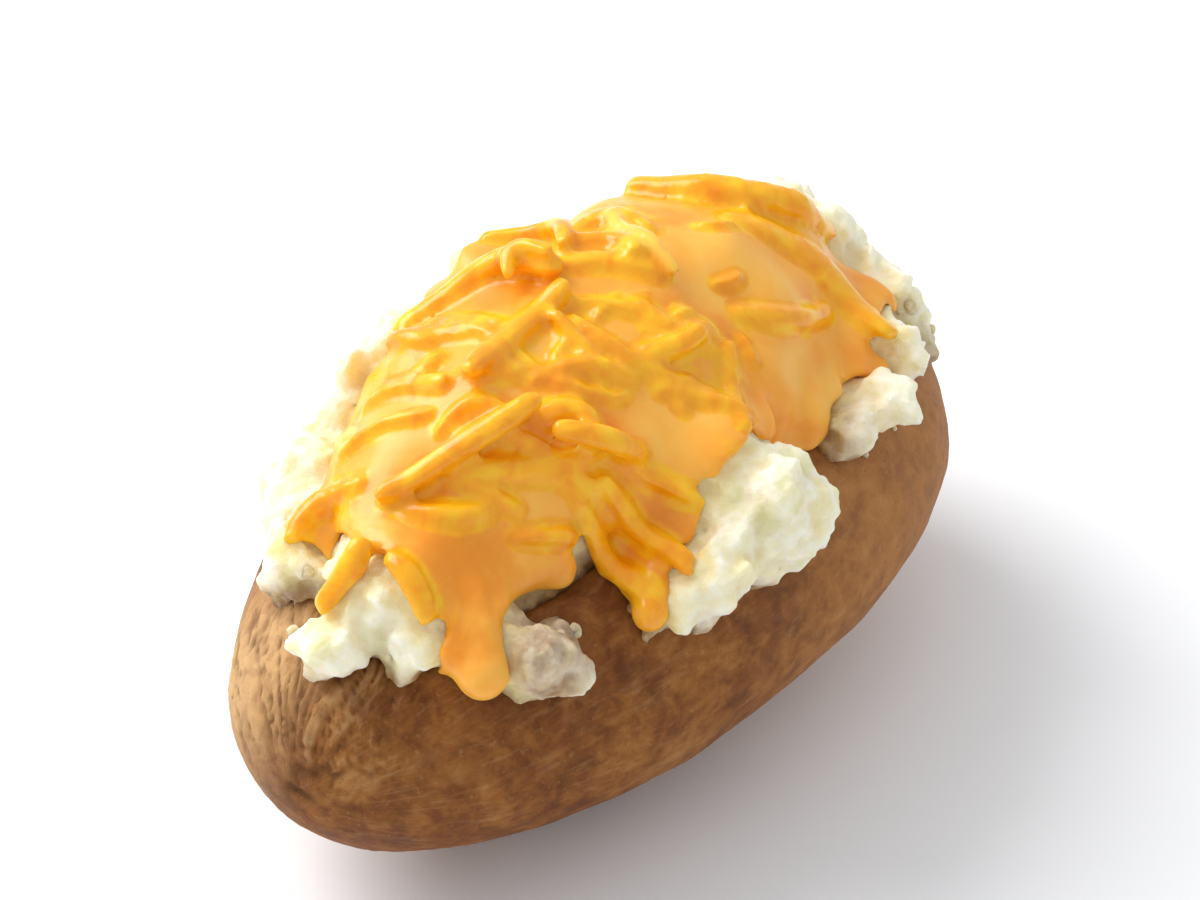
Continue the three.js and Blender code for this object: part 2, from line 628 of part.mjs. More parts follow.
/** A straight strip of six-sided section, bent along its line with its flat side to the heap. */
function shredGeometry(shred, line) {
  const flat = (shred.wide / 2) * SHRED_FLAT;
  const section = new THREE.Shape([
    new THREE.Vector2(shred.wide / 2, 0),
    new THREE.Vector2(flat, shred.deep / 2),
    new THREE.Vector2(-flat, shred.deep / 2),
    new THREE.Vector2(-shred.wide / 2, 0),
    new THREE.Vector2(-flat, -shred.deep / 2),
    new THREE.Vector2(flat, -shred.deep / 2),
  ]);
  const last = line.length - 1;
  const steps = Math.max(3, Math.round(last / SHRED_STEP));
  const strip = new THREE.ExtrudeGeometry(section, { depth: last, steps, bevelEnabled: false });
  const curve = new THREE.CatmullRomCurve3(line.map(({ point }) => point));
  const { position } = strip.attributes;
  for (let i = 0; i < position.count; i += 1) {
    const share = position.getZ(i) / last;
    const tangent = curve.getTangent(share);
    const { out } = line[Math.round(share * last)];
    const side = new THREE.Vector3().crossVectors(out, tangent).normalize();
    const up = new THREE.Vector3().crossVectors(tangent, side);
    const slim = THREE.MathUtils.lerp(1, SHRED_END, Math.abs(2 * share - 1) ** 6);
    const point = curve.getPoint(share);
    point.addScaledVector(side, position.getX(i) * slim).addScaledVector(up, position.getY(i) * slim);
    position.setXYZ(i, point.x, point.y, point.z);
  }
  strip.deleteAttribute('normal');
  strip.deleteAttribute('uv');
  return mergeVertices(strip, 1e-4);
}

// ---- Putting it together ------------------------------------------------------------------------

const skinGeometry = drawnOut(SKIN_COLUMNS, SKIN_ROWS, skinPoint);
const skinGrown = grown(skinGeometry, GAP);

const fleshGeometry = drawnOut(FLESH_COLUMNS, FLESH_ROWS, fleshPoint);
const fleshGrown = grown(fleshGeometry, GAP);
const flesh = largest(solidOf(fleshGeometry).subtract(skinGrown));

const { support, top } = sauceReaches();
const sauceGeometry = drawnOut(SAUCE_COLUMNS, SAUCE_ROWS, (u, v) => {
  const { start, direction } = spineRay(u, v);
  return start.addScaledVector(direction, top[Math.round(v * SAUCE_ROWS)][Math.round(u * SAUCE_COLUMNS)]);
});
const sauce = largest(solidOf(sauceGeometry).subtract(fleshGrown).subtract(skinGrown));

const potato = new THREE.Group();

/** Adds a named piece to the potato. */
function addPiece(name, geometry, color, roughness) {
  const material = new THREE.MeshStandardMaterial({ color, roughness, metalness: 0 });
  const mesh = new THREE.Mesh(geometry, material);
  mesh.name = name;
  potato.add(mesh);
}

addPiece('potato_skin', skinGeometry, '#8a5a2c', 0.85);
addPiece('potato_flesh', geometryOf(flesh), '#f4e6c4', 0.8);
addPiece('cheese_sauce', geometryOf(sauce), '#f7b55c', 0.35);

// Each strip is trimmed by the sauce, the flesh and the skin, and by the strips laid before it.
const surface = top.map((ring, j) => ring.map((reach, i) => Math.max(reach, support[j][i])));
const laid = [];
let taken = grown(sauceGeometry, GAP).add(fleshGrown).add(skinGrown);
[...backShreds(), ...SHREDS].forEach((shred, i) => {
  const geometry = shredGeometry(shred, layShred(shred, surface, laid));
  const strip = largest(solidOf(geometry).subtract(taken));
  taken = taken.add(grown(geometry, GAP));
  addPiece(`cheddar_shred_${String(i + 1).padStart(2, '0')}`, geometryOf(strip), '#f0a51e', 0.4);
});

// The frame's origin is under the middle of the potato's box, on the floor.
const box = new THREE.Box3().setFromObject(potato);
potato.position.set(-(box.min.x + box.max.x) / 2, -(box.min.y + box.max.y) / 2, -box.min.z);

export default potato;
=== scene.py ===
"""The finished look of a baked potato: wrinkled brown skin, fluffy flesh, melted cheese and crumbs."""

import logging
import math
import random
from dataclasses import dataclass
from enum import Enum

import bmesh
import bpy
import numpy as np
from bmesh.types import BMesh
from bpy.types import Material, NodeSocket, Object
from mathutils import Matrix, Vector, noise
from mathutils.bvhtree import BVHTree


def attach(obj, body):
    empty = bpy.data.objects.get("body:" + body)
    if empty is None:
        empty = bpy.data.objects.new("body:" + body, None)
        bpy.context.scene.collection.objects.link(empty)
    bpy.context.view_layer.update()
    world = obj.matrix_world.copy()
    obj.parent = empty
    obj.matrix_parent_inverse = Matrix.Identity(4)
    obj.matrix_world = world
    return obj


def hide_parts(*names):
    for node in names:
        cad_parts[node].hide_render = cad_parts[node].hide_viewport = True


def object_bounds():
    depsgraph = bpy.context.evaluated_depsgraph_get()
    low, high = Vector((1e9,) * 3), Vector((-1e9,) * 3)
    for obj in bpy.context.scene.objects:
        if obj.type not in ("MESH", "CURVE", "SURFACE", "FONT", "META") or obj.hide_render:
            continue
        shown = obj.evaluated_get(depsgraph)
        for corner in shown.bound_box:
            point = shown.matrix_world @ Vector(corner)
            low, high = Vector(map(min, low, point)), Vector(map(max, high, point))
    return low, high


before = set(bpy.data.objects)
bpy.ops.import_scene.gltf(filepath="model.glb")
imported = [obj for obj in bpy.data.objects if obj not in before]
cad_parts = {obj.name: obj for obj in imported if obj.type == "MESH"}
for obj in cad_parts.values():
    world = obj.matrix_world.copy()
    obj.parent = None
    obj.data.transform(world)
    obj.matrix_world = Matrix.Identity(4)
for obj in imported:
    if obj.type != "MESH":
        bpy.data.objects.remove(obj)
CAD_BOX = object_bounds()

Array = np.ndarray
Range = tuple[float, float]
Place = tuple[float, float, float]
Colour = tuple[float, float, float, float]
Spread = tuple[float, float, float, float]
Stops = tuple[tuple[float, str], ...]

# Lengths here are in millimetres, and Blender's are in metres.
MM = 0.001
BODY = "root"
HALF_LENGTH = 65.0
# How far from the heap's middle line things start that are let down onto the heap.
OUTSIDE = 80.0
# Points closer than this are welded.
WELD = 0.01
# How far above a face a look out from it starts, and a crumb's middle lies.
LIFT = 0.15
# The most triangles that a piece keeps.
MOST_FACES = 190_000
# Blender's swirling noise differs from run to run unless it is given a seed.
NOISE_SEED = 4
log = logging.getLogger("baked_potato")


class Slot(Enum):
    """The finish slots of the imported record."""

    SKIN = "skin"
    FLESH = "flesh"
    SAUCE = "sauce"


# ---------------------------------------------------------------- patterns


def srgb(code: str) -> Colour:
    """Turns a colour such as "c08a4e" into linear red, green, blue and alpha.

    Args:
        code: Six hexadecimal digits.

    Returns:
        The colour as Blender's shaders take it.
    """
    shares = [int(code[i : i + 2], 16) / 255 for i in (0, 2, 4)]
    linear = [s / 12.92 if s <= 0.04045 else ((s + 0.055) / 1.055) ** 2.4 for s in shares]
    return (*linear, 1.0)


@dataclass(frozen=True)
class Rise:
    """A smooth rise from 0 at one value to 1 at another, which may lie below the first."""

    start: float
    end: float

    def at(self, values: Array) -> Array:
        """One weight from 0 to 1 for each value."""
        t = np.clip((values - self.start) / (self.end - self.start), 0.0, 1.0)
        return t * t * (3.0 - 2.0 * t)


@dataclass(frozen=True)
class Noise:
    """Noise whose bumps have one size, and whose shift sets it apart from other noise."""

    size: float
    shift: float

    def rows(self, points: Array) -> list[list[float]]:
        """Where in the noise each row of coordinates lies."""
        return (points / self.size + self.shift).tolist()


class Field(Noise):
    """Smooth noise between about -1 and 1."""

    def at(self, points: Array) -> Array:
        """One value for each row of coordinates."""
        return np.array([noise.noise(row) for row in self.rows(points)])


class Domes(Noise):
    """Rounded lumps that meet in sharp creases, 1 on top and near 0 in the creases."""

    def at(self, points: Array) -> Array:
        """One value for each row of coordinates."""
        near = np.array([noise.voronoi(row)[0][0] for row in self.rows(points)])
        return np.clip(1.0 - near * near, 0.0, 1.0)


@dataclass(frozen=True)
class Swirl(Noise):
    """Smooth noise that moves coordinates about, so that a pattern on them wanders."""

    reach: float

    def moved(self, points: Array) -> Array:
        """The coordinates after their moves."""
        moves = np.array([noise.noise_vector(row)[:] for row in self.rows(points)])
        return points + self.reach * moves


def lines(values: Array, sharp: float) -> Array:
    """Lines that run where noise passes through 0, 1 in their middle; sharp ones are thin."""
    return 1.0 - np.clip(np.abs(values) * sharp, 0.0, 1.0)


@dataclass(frozen=True)
class Axis:
    """A line along the potato: how far it reaches either way and where it lies, in millimetres."""

    half: float
    y: float
    z: float

    def away(self, points: Array) -> Array:
        """The way from the line's nearest place to each point, one unit long.

        Args:
            points: One row of millimetres for each point.

        Returns:
            One direction for each point.
        """
        out = points - np.array([0.0, self.y, self.z])
        out[:, 0] -= np.clip(points[:, 0], -self.half, self.half)
        return out / np.linalg.norm(out, axis=1)[:, None]


POTATO = Axis(0.55 * HALF_LENGTH, 0.9, 26.8)
HEAP = Axis(46.0, 3.0, 34.0)


# ---------------------------------------------------------------- meshes


def merged_node(node: str) -> BMesh:
    """Copies a CAD node's triangles into a bmesh and welds them.

    Args:
        node: The node's name.

    Returns:
        The welded copy, in metres.
    """
    bm = bmesh.new()
    bm.from_mesh(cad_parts[node].data)
    bmesh.ops.remove_doubles(bm, verts=bm.verts, dist=WELD * MM)
    return bm


def linked(name: str, data: bpy.types.ID) -> Object:
    """Puts a mesh, a lamp or a camera into the scene.

    Args:
        name: The new object's name.
        data: What it holds.

    Returns:
        The new object.
    """
    obj = bpy.data.objects.new(name, data)
    bpy.context.scene.collection.objects.link(obj)
    return obj


def object_of(bm: BMesh, name: str) -> Object:
    """Turns a bmesh into a linked object and frees the bmesh.

    Args:
        bm: The mesh to keep.
        name: The object's name.

    Returns:
        The new object.
    """
    mesh = bpy.data.meshes.new(name)
    bm.to_mesh(mesh)
    bm.free()
    return linked(name, mesh)


def modify(obj: Object, kind: str, **settings: object) -> None:
    """Puts a modifier on an object and keeps the mesh that it gives.

    Args:
        obj: The object to rework.
        kind: Blender's name for the modifier.
        **settings: The modifier's settings by name.
    """
    modifier = obj.modifiers.new(kind, kind)
    for name, value in settings.items():
        setattr(modifier, name, value)
    depsgraph = bpy.context.evaluated_depsgraph_get()
    settled = bpy.data.meshes.new_from_object(obj.evaluated_get(depsgraph))
    old = obj.data
    obj.modifiers.clear()
    obj.data = settled
    settled.name = obj.name
    bpy.data.meshes.remove(old)


def remesh(obj: Object, voxel_mm: float) -> None:
    """Fuses an object's shells into one even skin with faces of one size."""
    modify(obj, "REMESH", mode="VOXEL", voxel_size=voxel_mm * MM, use_smooth_shade=True)


def subdivide(obj: Object, levels: int) -> None:
    """Rounds an object by splitting its faces a few times over."""
    modify(obj, "SUBSURF", levels=levels, render_levels=levels)


def triangles_of(obj: Object) -> int:
    """How many triangles an object's faces make."""
    return sum(len(polygon.vertices) - 2 for polygon in obj.data.polygons)


def rows_of(items: bpy.types.bpy_prop_collection, name: str) -> Array:
    """Reads three numbers from each of many items.

    Args:
        items: Blender's collection of them.
        name: The name of the three numbers.

    Returns:
        One row for each item.
    """
    flat = np.empty(len(items) * 3, np.float32)
    items.foreach_get(name, flat)
    return flat.reshape(-1, 3).astype(float)


def points_mm(obj: Object) -> Array:
    """The places of an object's points, one row each, in millimetres."""
    return rows_of(obj.data.vertices, "co") / MM


def normals_of(obj: Object) -> Array:
    """The directions that an object's points face, one row each."""
    return rows_of(obj.data.vertex_normals, "vector")


def place_points(obj: Object, points: Array) -> None:
    """Puts an object's points where they are told, kept inside the CAD model's box.

    Args:
        obj: The object to reshape.
        points: One row of millimetres for each point.
    """
    inside = np.clip(points * MM, np.array(CAD_BOX[0]), np.array(CAD_BOX[1]))
    obj.data.vertices.foreach_set("co", inside.astype(np.float32).ravel())
    obj.data.update()


def keep(obj: Object, name: str, values: Array) -> None:
    """Stores a number or three coordinates for each point, which a material reads by name.

    Args:
        obj: The object that gets the numbers.
        name: The attribute's name.
        values: One number or one row of three for each point.
    """
    kind, field = ("FLOAT", "value") if values.ndim == 1 else ("FLOAT_VECTOR", "vector")
    attribute = obj.data.attributes.new(name, kind, "POINT")
    attribute.data.foreach_set(field, values.astype(np.float32).ravel())


def tree_of(*objects: Object) -> BVHTree:
    """Makes a search tree over the faces of some objects.

    Args:
        *objects: The objects.

    Returns:
        The tree, in metres.
    """
    bm = bmesh.new()
    for obj in objects:
        bm.from_mesh(obj.data)
    tree = BVHTree.FromBMesh(bm)
    bm.free()
    return tree


def distances_mm(points: Array, tree: BVHTree, far_mm: float) -> Array:
    """How far each point lies from the nearest face of a tree, or far_mm if it lies further off."""
    found = [tree.find_nearest(Vector(row), far_mm * MM)[3] for row in (points * MM).tolist()]
    return np.array([far_mm if d is None else d / MM for d in found])


def covered(points: Array, normals: Array, tree: BVHTree, reach_mm: float) -> Array:
    """Which points have faces of a tree close in front of them.

    Args:
        points: One row of millimetres for each point.
        normals: The directions that they face.
        tree: The faces.
        reach_mm: How far in front of a point is looked.

    Returns:
        True or False for each point.
    """
    starts = ((points + LIFT * normals) * MM).tolist()
    hits = [
        tree.ray_cast(Vector(start), Vector(way), reach_mm * MM)[0] is not None
        for start, way in zip(starts, normals.tolist())
    ]
    return np.array(hits)


def eased(obj: Object, points: Array, rounds: int, hold: float) -> Array:
    """Evens out an object's points by moving each towards the middle of its neighbours.

    Args:
        obj: The object, whose edges say which points are neighbours.
        points: One row of millimetres for each point.
        rounds: How many times it is done.
        hold: How much of each move is taken back after it; 0.53 keeps the volume.

    Returns:
        The evened points.
    """
    flat = np.empty(len(obj.data.edges) * 2, np.int32)
    obj.data.edges.foreach_get("vertices", flat)
    first, second = flat.reshape(-1, 2).T
    total = len(points)
    count = np.maximum(np.bincount(flat, minlength=total), 1)
    for share in [0.5, -hold] * rounds if hold else [0.5] * rounds:
        sums = [
            np.bincount(first, points[second, axis], total)
            + np.bincount(second, points[first, axis], total)
            for axis in range(3)
        ]
        points = points + share * (np.stack(sums, 1) / count[:, None] - points)
    return points


def evened(obj: Object, rounds: int, hold: float) -> Array:
    """Evens out an object as eased does and puts its points in place.

    Args:
        obj: The object.
        rounds: How many times it is done.
        hold: How much of each move is taken back.

    Returns:
        The new points, one row of millimetres each.
    """
    points = eased(obj, points_mm(obj), rounds, hold)
    place_points(obj, points)
    return points


def thin_out(obj: Object, hidden: Array) -> None:
    """Drops faces where they are never seen, then all over, down to the most that a piece keeps.

    Args:
        obj: The object to lighten.
        hidden: True for each point that is never seen.
    """
    group = obj.vertex_groups.new(name="hidden")
    group.add(np.nonzero(hidden)[0].tolist(), 1.0, "REPLACE")
    for where in (group.name, ""):
        share = min(1.0, MOST_FACES / triangles_of(obj))
        modify(obj, "DECIMATE", ratio=share, vertex_group=where)
    obj.vertex_groups.clear()


class Grain:
    """A rough little ball that is stamped many times over."""

    DENTS_ACROSS = 1.3
    DENTS_APART = 90.0

    def __init__(self, subdivisions: int, stretch: Range = (0.7, 1.15)) -> None:
        """Makes the ball.

        Args:
            subdivisions: How finely it is split.
            stretch: The range of each copy's stretches along its own three axes.
        """
        self.stretch = stretch
        bm = bmesh.new()
        bmesh.ops.create_icosphere(bm, subdivisions=subdivisions, radius=1.0)
        self.points = np.array([vert.co[:] for vert in bm.verts])
        self.faces = np.array([[vert.index for vert in face.verts] for face in bm.faces])
        bm.free()

    def stamped(
        self,
        name: str,
        places: Array,
        radii: Array,
        roughness: float,
        draw: np.random.Generator,
    ) -> Object:
        """Puts a turned, stretched and dented copy at each place.

        Args:
            name: The new object's name.
            places: One row of millimetres for each copy.
            radii: One radius in millimetres for each copy.
            roughness: How deep the dents are, as a share of the radius.
            draw: The source of chance.

        Returns:
            One object that holds all the copies.
        """
        turns = np.linalg.qr(draw.normal(size=(len(places), 3, 3)))[0]
        turns *= np.sign(np.linalg.det(turns))[:, None, None]
        stretch = draw.uniform(*self.stretch, (len(places), 1, 3))
        shapes = (self.points[None] * stretch) @ turns
        shifts = draw.uniform(0.0, self.DENTS_APART, (len(places), 1, 3))
        rows = (self.points[None] * self.DENTS_ACROSS + shifts).reshape(-1, 3).tolist()
        dents = np.array([noise.noise(row) for row in rows]).reshape(len(places), -1, 1)
        shapes *= (1.0 + roughness * dents) * radii[:, None, None]
        points = (shapes + places[:, None]) * MM
        steps = np.arange(len(places))[:, None, None] * len(self.points)
        faces = (self.faces[None] + steps).reshape(-1, 3)
        mesh = bpy.data.meshes.new(name)
        mesh.from_pydata(points.reshape(-1, 3).tolist(), [], faces.tolist())
        return linked(name, mesh)


def joined(name: str, *objects: Object) -> Object:
    """Puts several objects' meshes into one new object and removes them.

    Args:
        name: The new object's name.
        *objects: The objects to join.

    Returns:
        The new object.
    """
    bm = bmesh.new()
    for obj in objects:
        mesh = obj.data
        bm.from_mesh(mesh)
        bpy.data.objects.remove(obj)
        bpy.data.meshes.remove(mesh)
    return object_of(bm, name)


def dress(obj: Object, material: Material, slot: Slot, *nodes: str) -> None:
    """Gives a piece its finish and its body, and hides the CAD nodes that it replaces.

    Args:
        obj: The finished mesh.
        material: Its finish.
        slot: Not used.
        *nodes: The CAD nodes that it replaces.
    """
    obj.data.materials.clear()
    obj.data.materials.append(material)
    obj.data.polygons.foreach_set("use_smooth", [True] * len(obj.data.polygons))
    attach(obj, BODY)
    if nodes:
        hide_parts(*nodes)
    log.info("%s: %d triangles", obj.name, triangles_of(obj))


# ---------------------------------------------------------------- finishes


@dataclass(frozen=True)
class Tint:
    """A colour that comes in as a pattern passes from one value to another, up to a share."""

    code: str
    start: float
    full: float
    share: float


class Graph:
    """A material's node tree, with short ways to add nodes and join them."""

    def __init__(self, name: str) -> None:
        """Starts a material that holds one shader and its output.

        Args:
            name: The material's name.
        """
        self.material = bpy.data.materials.new(name)
        self.material.use_nodes = True
        self.tree = self.material.node_tree
        self.shader = self.tree.nodes["Principled BSDF"]
        self.place = self.tree.nodes.new("ShaderNodeTexCoord").outputs["Object"]

    def join(self, value: object, socket: NodeSocket) -> None:
        """Links a socket to an input, or sets the input to a plain value.

        Args:
            value: A node's output, a number or a colour.
            socket: The input that takes it.
        """
        if isinstance(value, NodeSocket):
            self.tree.links.new(value, socket)
        else:
            socket.default_value = value

    def fill(self, node: bpy.types.Node, **inputs: object) -> bpy.types.Node:
        """Sets or links a node's inputs, each named with _ for a space.

        Args:
            node: The node.
            **inputs: A node's output, a number or a colour for each.

        Returns:
            The node.
        """
        for name, value in inputs.items():
            self.join(value, node.inputs[name.replace("_", " ")])
        return node

    def node(self, kind: str, **inputs: object) -> bpy.types.Node:
        """Adds a node of a kind and fills its inputs."""
        return self.fill(self.tree.nodes.new("ShaderNode" + kind), **inputs)

    def attribute(self, name: str, output: str = "Fac") -> NodeSocket:
        """Reads an attribute that keep has stored.

        Args:
            name: The attribute's name.
            output: Vector for three coordinates, or Fac for a number.

        Returns:
            The attribute's value.
        """
        node = self.node("Attribute")
        node.attribute_name = name
        return node.outputs[output]

    def noise(
        self,
        size_mm: float,
        detail: float = 3.0,
        roughness: float = 0.55,
        distortion: float = 0.0,
        vector: NodeSocket | None = None,
        unit: float = MM,
    ) -> NodeSocket:
        """Cloudy noise.

        Args:
            size_mm: The size of its patches.
            detail: How many finer layers it has.
            roughness: How strong the finer layers are.
            distortion: How much it swirls.
            vector: Its coordinates, or the piece's own place.
            unit: The size of one millimetre in those coordinates.

        Returns:
            The noise, from 0 to 1.
        """
        node = self.node("TexNoise", Vector=vector or self.place, Scale=1.0 / (size_mm * unit))
        self.fill(node, Detail=detail, Roughness=roughness, Distortion=distortion)
        return node.outputs["Fac"]

    def ramp(self, value: NodeSocket, stops: Stops) -> NodeSocket:
        """Turns a number into a colour by way of a few stops.

        Args:
            value: The number.
            stops: Pairs of a number and a colour's six hexadecimal digits.

        Returns:
            The colour.
        """
        node = self.node("ValToRGB", Fac=value)
        elements = node.color_ramp.elements
        while len(elements) < len(stops):
            elements.new(0.5)
        for element, (position, code) in zip(elements, stops):
            element.position = position
            element.color = srgb(code)
        return node.outputs["Color"]

    def spread(
        self, value: NodeSocket, low: float, high: float, to_low: float, to_high: float
    ) -> NodeSocket:
        """Maps the numbers from low to high onto those from to_low to to_high, and none beyond."""
        node = self.node("MapRange", Value=value, From_Min=low, From_Max=high)
        return self.fill(node, To_Min=to_low, To_Max=to_high).outputs["Result"]

    def maths(self, operation: str, *numbers: object) -> NodeSocket:
        """Works out one number from two.

        Args:
            operation: Blender's name for the sum, such as MULTIPLY.
            *numbers: The two numbers.

        Returns:
            The result.
        """
        node = self.node("Math")
        node.operation = operation
        for value, socket in zip(numbers, node.inputs):
            self.join(value, socket)
        return node.outputs["Value"]

    def mix(self, share: object, a: object, b: object) -> NodeSocket:
        """Blends two colours.

        Args:
            share: How much of the second colour there is.
            a: The first colour.
            b: The second colour.

        Returns:
            The blended colour.
        """
        node = self.node("Mix")
        node.data_type = "RGBA"
        self.fill(node, Factor=share, A=a, B=b)
        return next(o for o in node.outputs if o.type == "RGBA" and o.enabled)

    def tinted(self, colour: NodeSocket, pattern: NodeSocket, tint: Tint) -> NodeSocket:
        """Lets a tint into a colour where a pattern calls for it."""
        share = self.spread(pattern, tint.start, tint.full, 0.0, tint.share)
        return self.mix(share, colour, srgb(tint.code))

    def bump(
        self, height: NodeSocket, depth_mm: float, under: NodeSocket | None = None
    ) -> NodeSocket:
        """Fine relief too small for the mesh.

        Args:
            height: The relief, from 0 to 1.
            depth_mm: How deep it is.
            under: Coarser relief that it lies on.

        Returns:
            The bent normal.
        """
        node = self.node("Bump", Strength=1.0, Distance=depth_mm * MM, Height=height)
        if under is not None:
            self.fill(node, Normal=under)
        return node.outputs["Normal"]


@dataclass(frozen=True)
class SkinFinish:
    """Dry baked skin: mottled browns and pale fibres, with a painted highlight on the raised relief,
    painted shade in the creases and cuts, pale brown on the low end that is partly painted light, and
    painted light towards the far end.
    """

    browns: Stops = ((0.36, "653611"), (0.46, "7e491b"), (0.55, "945d28"), (0.68, "ab7742"))
    patch_mm: float = 15.0
    mottle_mm: float = 3.2
    fleck_mm: float = 0.9
    grain_mm: float = 0.6
    fibre_width: float = 0.05
    patch_share: float = 0.45
    mottled: Spread = (0.3, 0.6, 0.6, 1.0)
    pale_fibres: Tint = Tint("d6ad78", 0.54, 0.74, 0.18)
    dark_fibres: Tint = Tint("653611", 0.46, 0.3, 0.28)
    # The low end's pale brown: partly the skin's own colour and partly painted light on its upper back
    # side.
    tan_and_painted_shading: str = "d6ad78"
    # Painted light that lightens the skin towards the far end.
    painted_light: str = "b87f48"
    # Painted highlight that lightens the raised relief, and painted shade that darkens the creases and
    # cuts.
    ridge_highlights: Tint = Tint("d6ad78", 0.05, 0.8, 0.5)
    creases: Tint = Tint("5a3313", -0.05, -0.9, 0.7)
    pale_flecks: Tint = Tint("d6ad78", 0.64, 0.74, 0.15)
    dark_flecks: Tint = Tint("5a3313", 0.36, 0.26, 0.4)
    dullness: Spread = (0.35, 0.65, 0.6, 0.75)
    shine: float = 0.22
    grain_depth: float = 0.1
    fibre_depth: float = 0.2

    def material(self) -> Material:
        """Builds the material.

        Returns:
            The finished material.
        """
        g = Graph("baked_skin")
        patches = g.noise(self.patch_mm, detail=3.0, roughness=0.5)
        mottle = g.noise(self.mottle_mm, detail=4.0, roughness=0.62, distortion=0.4)
        along = g.attribute("grain", "Vector")
        fibres = g.noise(self.fibre_width, detail=5.0, roughness=0.65, vector=along, unit=1.0)
        flecks = g.noise(self.fleck_mm, detail=2.0)
        large = g.maths("MULTIPLY", patches, self.patch_share)
        small = g.maths("MULTIPLY", mottle, 1.0 - self.patch_share)
        tone = g.maths("ADD", large, small)
        colour = g.ramp(tone, self.browns)
        colour = g.tinted(colour, fibres, self.pale_fibres)
        colour = g.tinted(colour, fibres, self.dark_fibres)
        mottled = g.spread(mottle, *self.mottled)
        # Pale brown on the low end that is partly painted light, then painted light towards the far
        # end.
        for name, code in (("tan_and_painted_shading", self.tan_and_painted_shading), ("painted_light", self.painted_light)):
            share = g.maths("MULTIPLY", g.attribute(name), mottled)
            colour = g.mix(share, colour, srgb(code))
        # The relief's painted light: a highlight where it rises, and shade in the creases and cuts.
        painted_relief_shading = g.attribute("painted_relief_shading")
        colour = g.tinted(colour, painted_relief_shading, self.ridge_highlights)
        colour = g.tinted(colour, painted_relief_shading, self.creases)
        colour = g.tinted(colour, flecks, self.pale_flecks)
        colour = g.tinted(colour, flecks, self.dark_flecks)
        grain = g.bump(g.noise(self.grain_mm, detail=4.0, roughness=0.7), self.grain_depth)
        g.fill(
            g.shader,
            Base_Color=colour,
            Roughness=g.spread(tone, *self.dullness),
            Specular_IOR_Level=self.shine,
            Normal=g.bump(fibres, self.fibre_depth, grain),
        )
        return g.material


@dataclass(frozen=True)
class FleshFinish:
    """Fluffy cooked potato: cream, a little see-through, with painted shade in its hollows, browned
    where it meets the skin, and browned as painted shade on lobes that lie in shade.
    """

    creams: Stops = ((0.35, "f5e9be"), (0.5, "fbf4e0"), (0.66, "e6e2b0"))
    cloud_mm: float = 8.0
    soil_mm: float = 2.6
    gloss_mm: float = 3.0
    grain_mm: float = 0.7
    fine_mm: float = 0.4
    # Painted shade: the flesh turns darker and yellower in its hollows.
    pit_shade: Tint = Tint("e0d18c", 0.0, 1.0, 0.6)
    stain: str = "f9e6a2"
    stained: Spread = (0.35, 0.6, 0.3, 0.9)
    # Brown for flesh next to the skin, also laid on as painted shade on shaded lobes.
    tan_and_painted_shading: str = "92693a"
    tanned_and_shaded: Spread = (0.35, 0.6, 0.65, 1.0)
    dullness: Spread = (0.35, 0.65, 0.45, 0.68)
    shine: float = 0.4
    depth_share: float = 0.75
    depth_colour: Place = (1.0, 0.86, 0.5)
    depth: float = 0.003
    grain_depth: float = 0.2
    fine_depth: float = 0.1

    def material(self) -> Material:
        """Builds the material.

        Returns:
            The finished material.
        """
        g = Graph("potato_flesh_finish")
        clouds = g.noise(self.cloud_mm, detail=3.0)
        soil = g.noise(self.soil_mm, detail=3.0)
        colour = g.ramp(clouds, self.creams)
        # Painted shade in the hollows.
        colour = g.tinted(colour, g.attribute("pit"), self.pit_shade)
        # Cheese stain, then brown next to the skin with painted shade on the shaded lobes.
        for name, code, pattern, uneven in (
            ("stain", self.stain, clouds, self.stained),
            ("tan_and_painted_shading", self.tan_and_painted_shading, soil, self.tanned_and_shaded),
        ):
            share = g.maths("MULTIPLY", g.attribute(name), g.spread(pattern, *uneven))
            colour = g.mix(share, colour, srgb(code))
        fine = g.bump(g.noise(self.fine_mm, detail=3.0, roughness=0.65), self.fine_depth)
        grain = g.noise(self.grain_mm, detail=2.0, distortion=0.5)
        g.fill(
            g.shader,
            Base_Color=colour,
            Roughness=g.spread(g.noise(self.gloss_mm), *self.dullness),
            Subsurface_Weight=self.depth_share,
            Subsurface_Radius=self.depth_colour,
            Subsurface_Scale=self.depth,
            Specular_IOR_Level=self.shine,
            Normal=g.bump(grain, self.grain_depth, fine),
        )
        return g.material


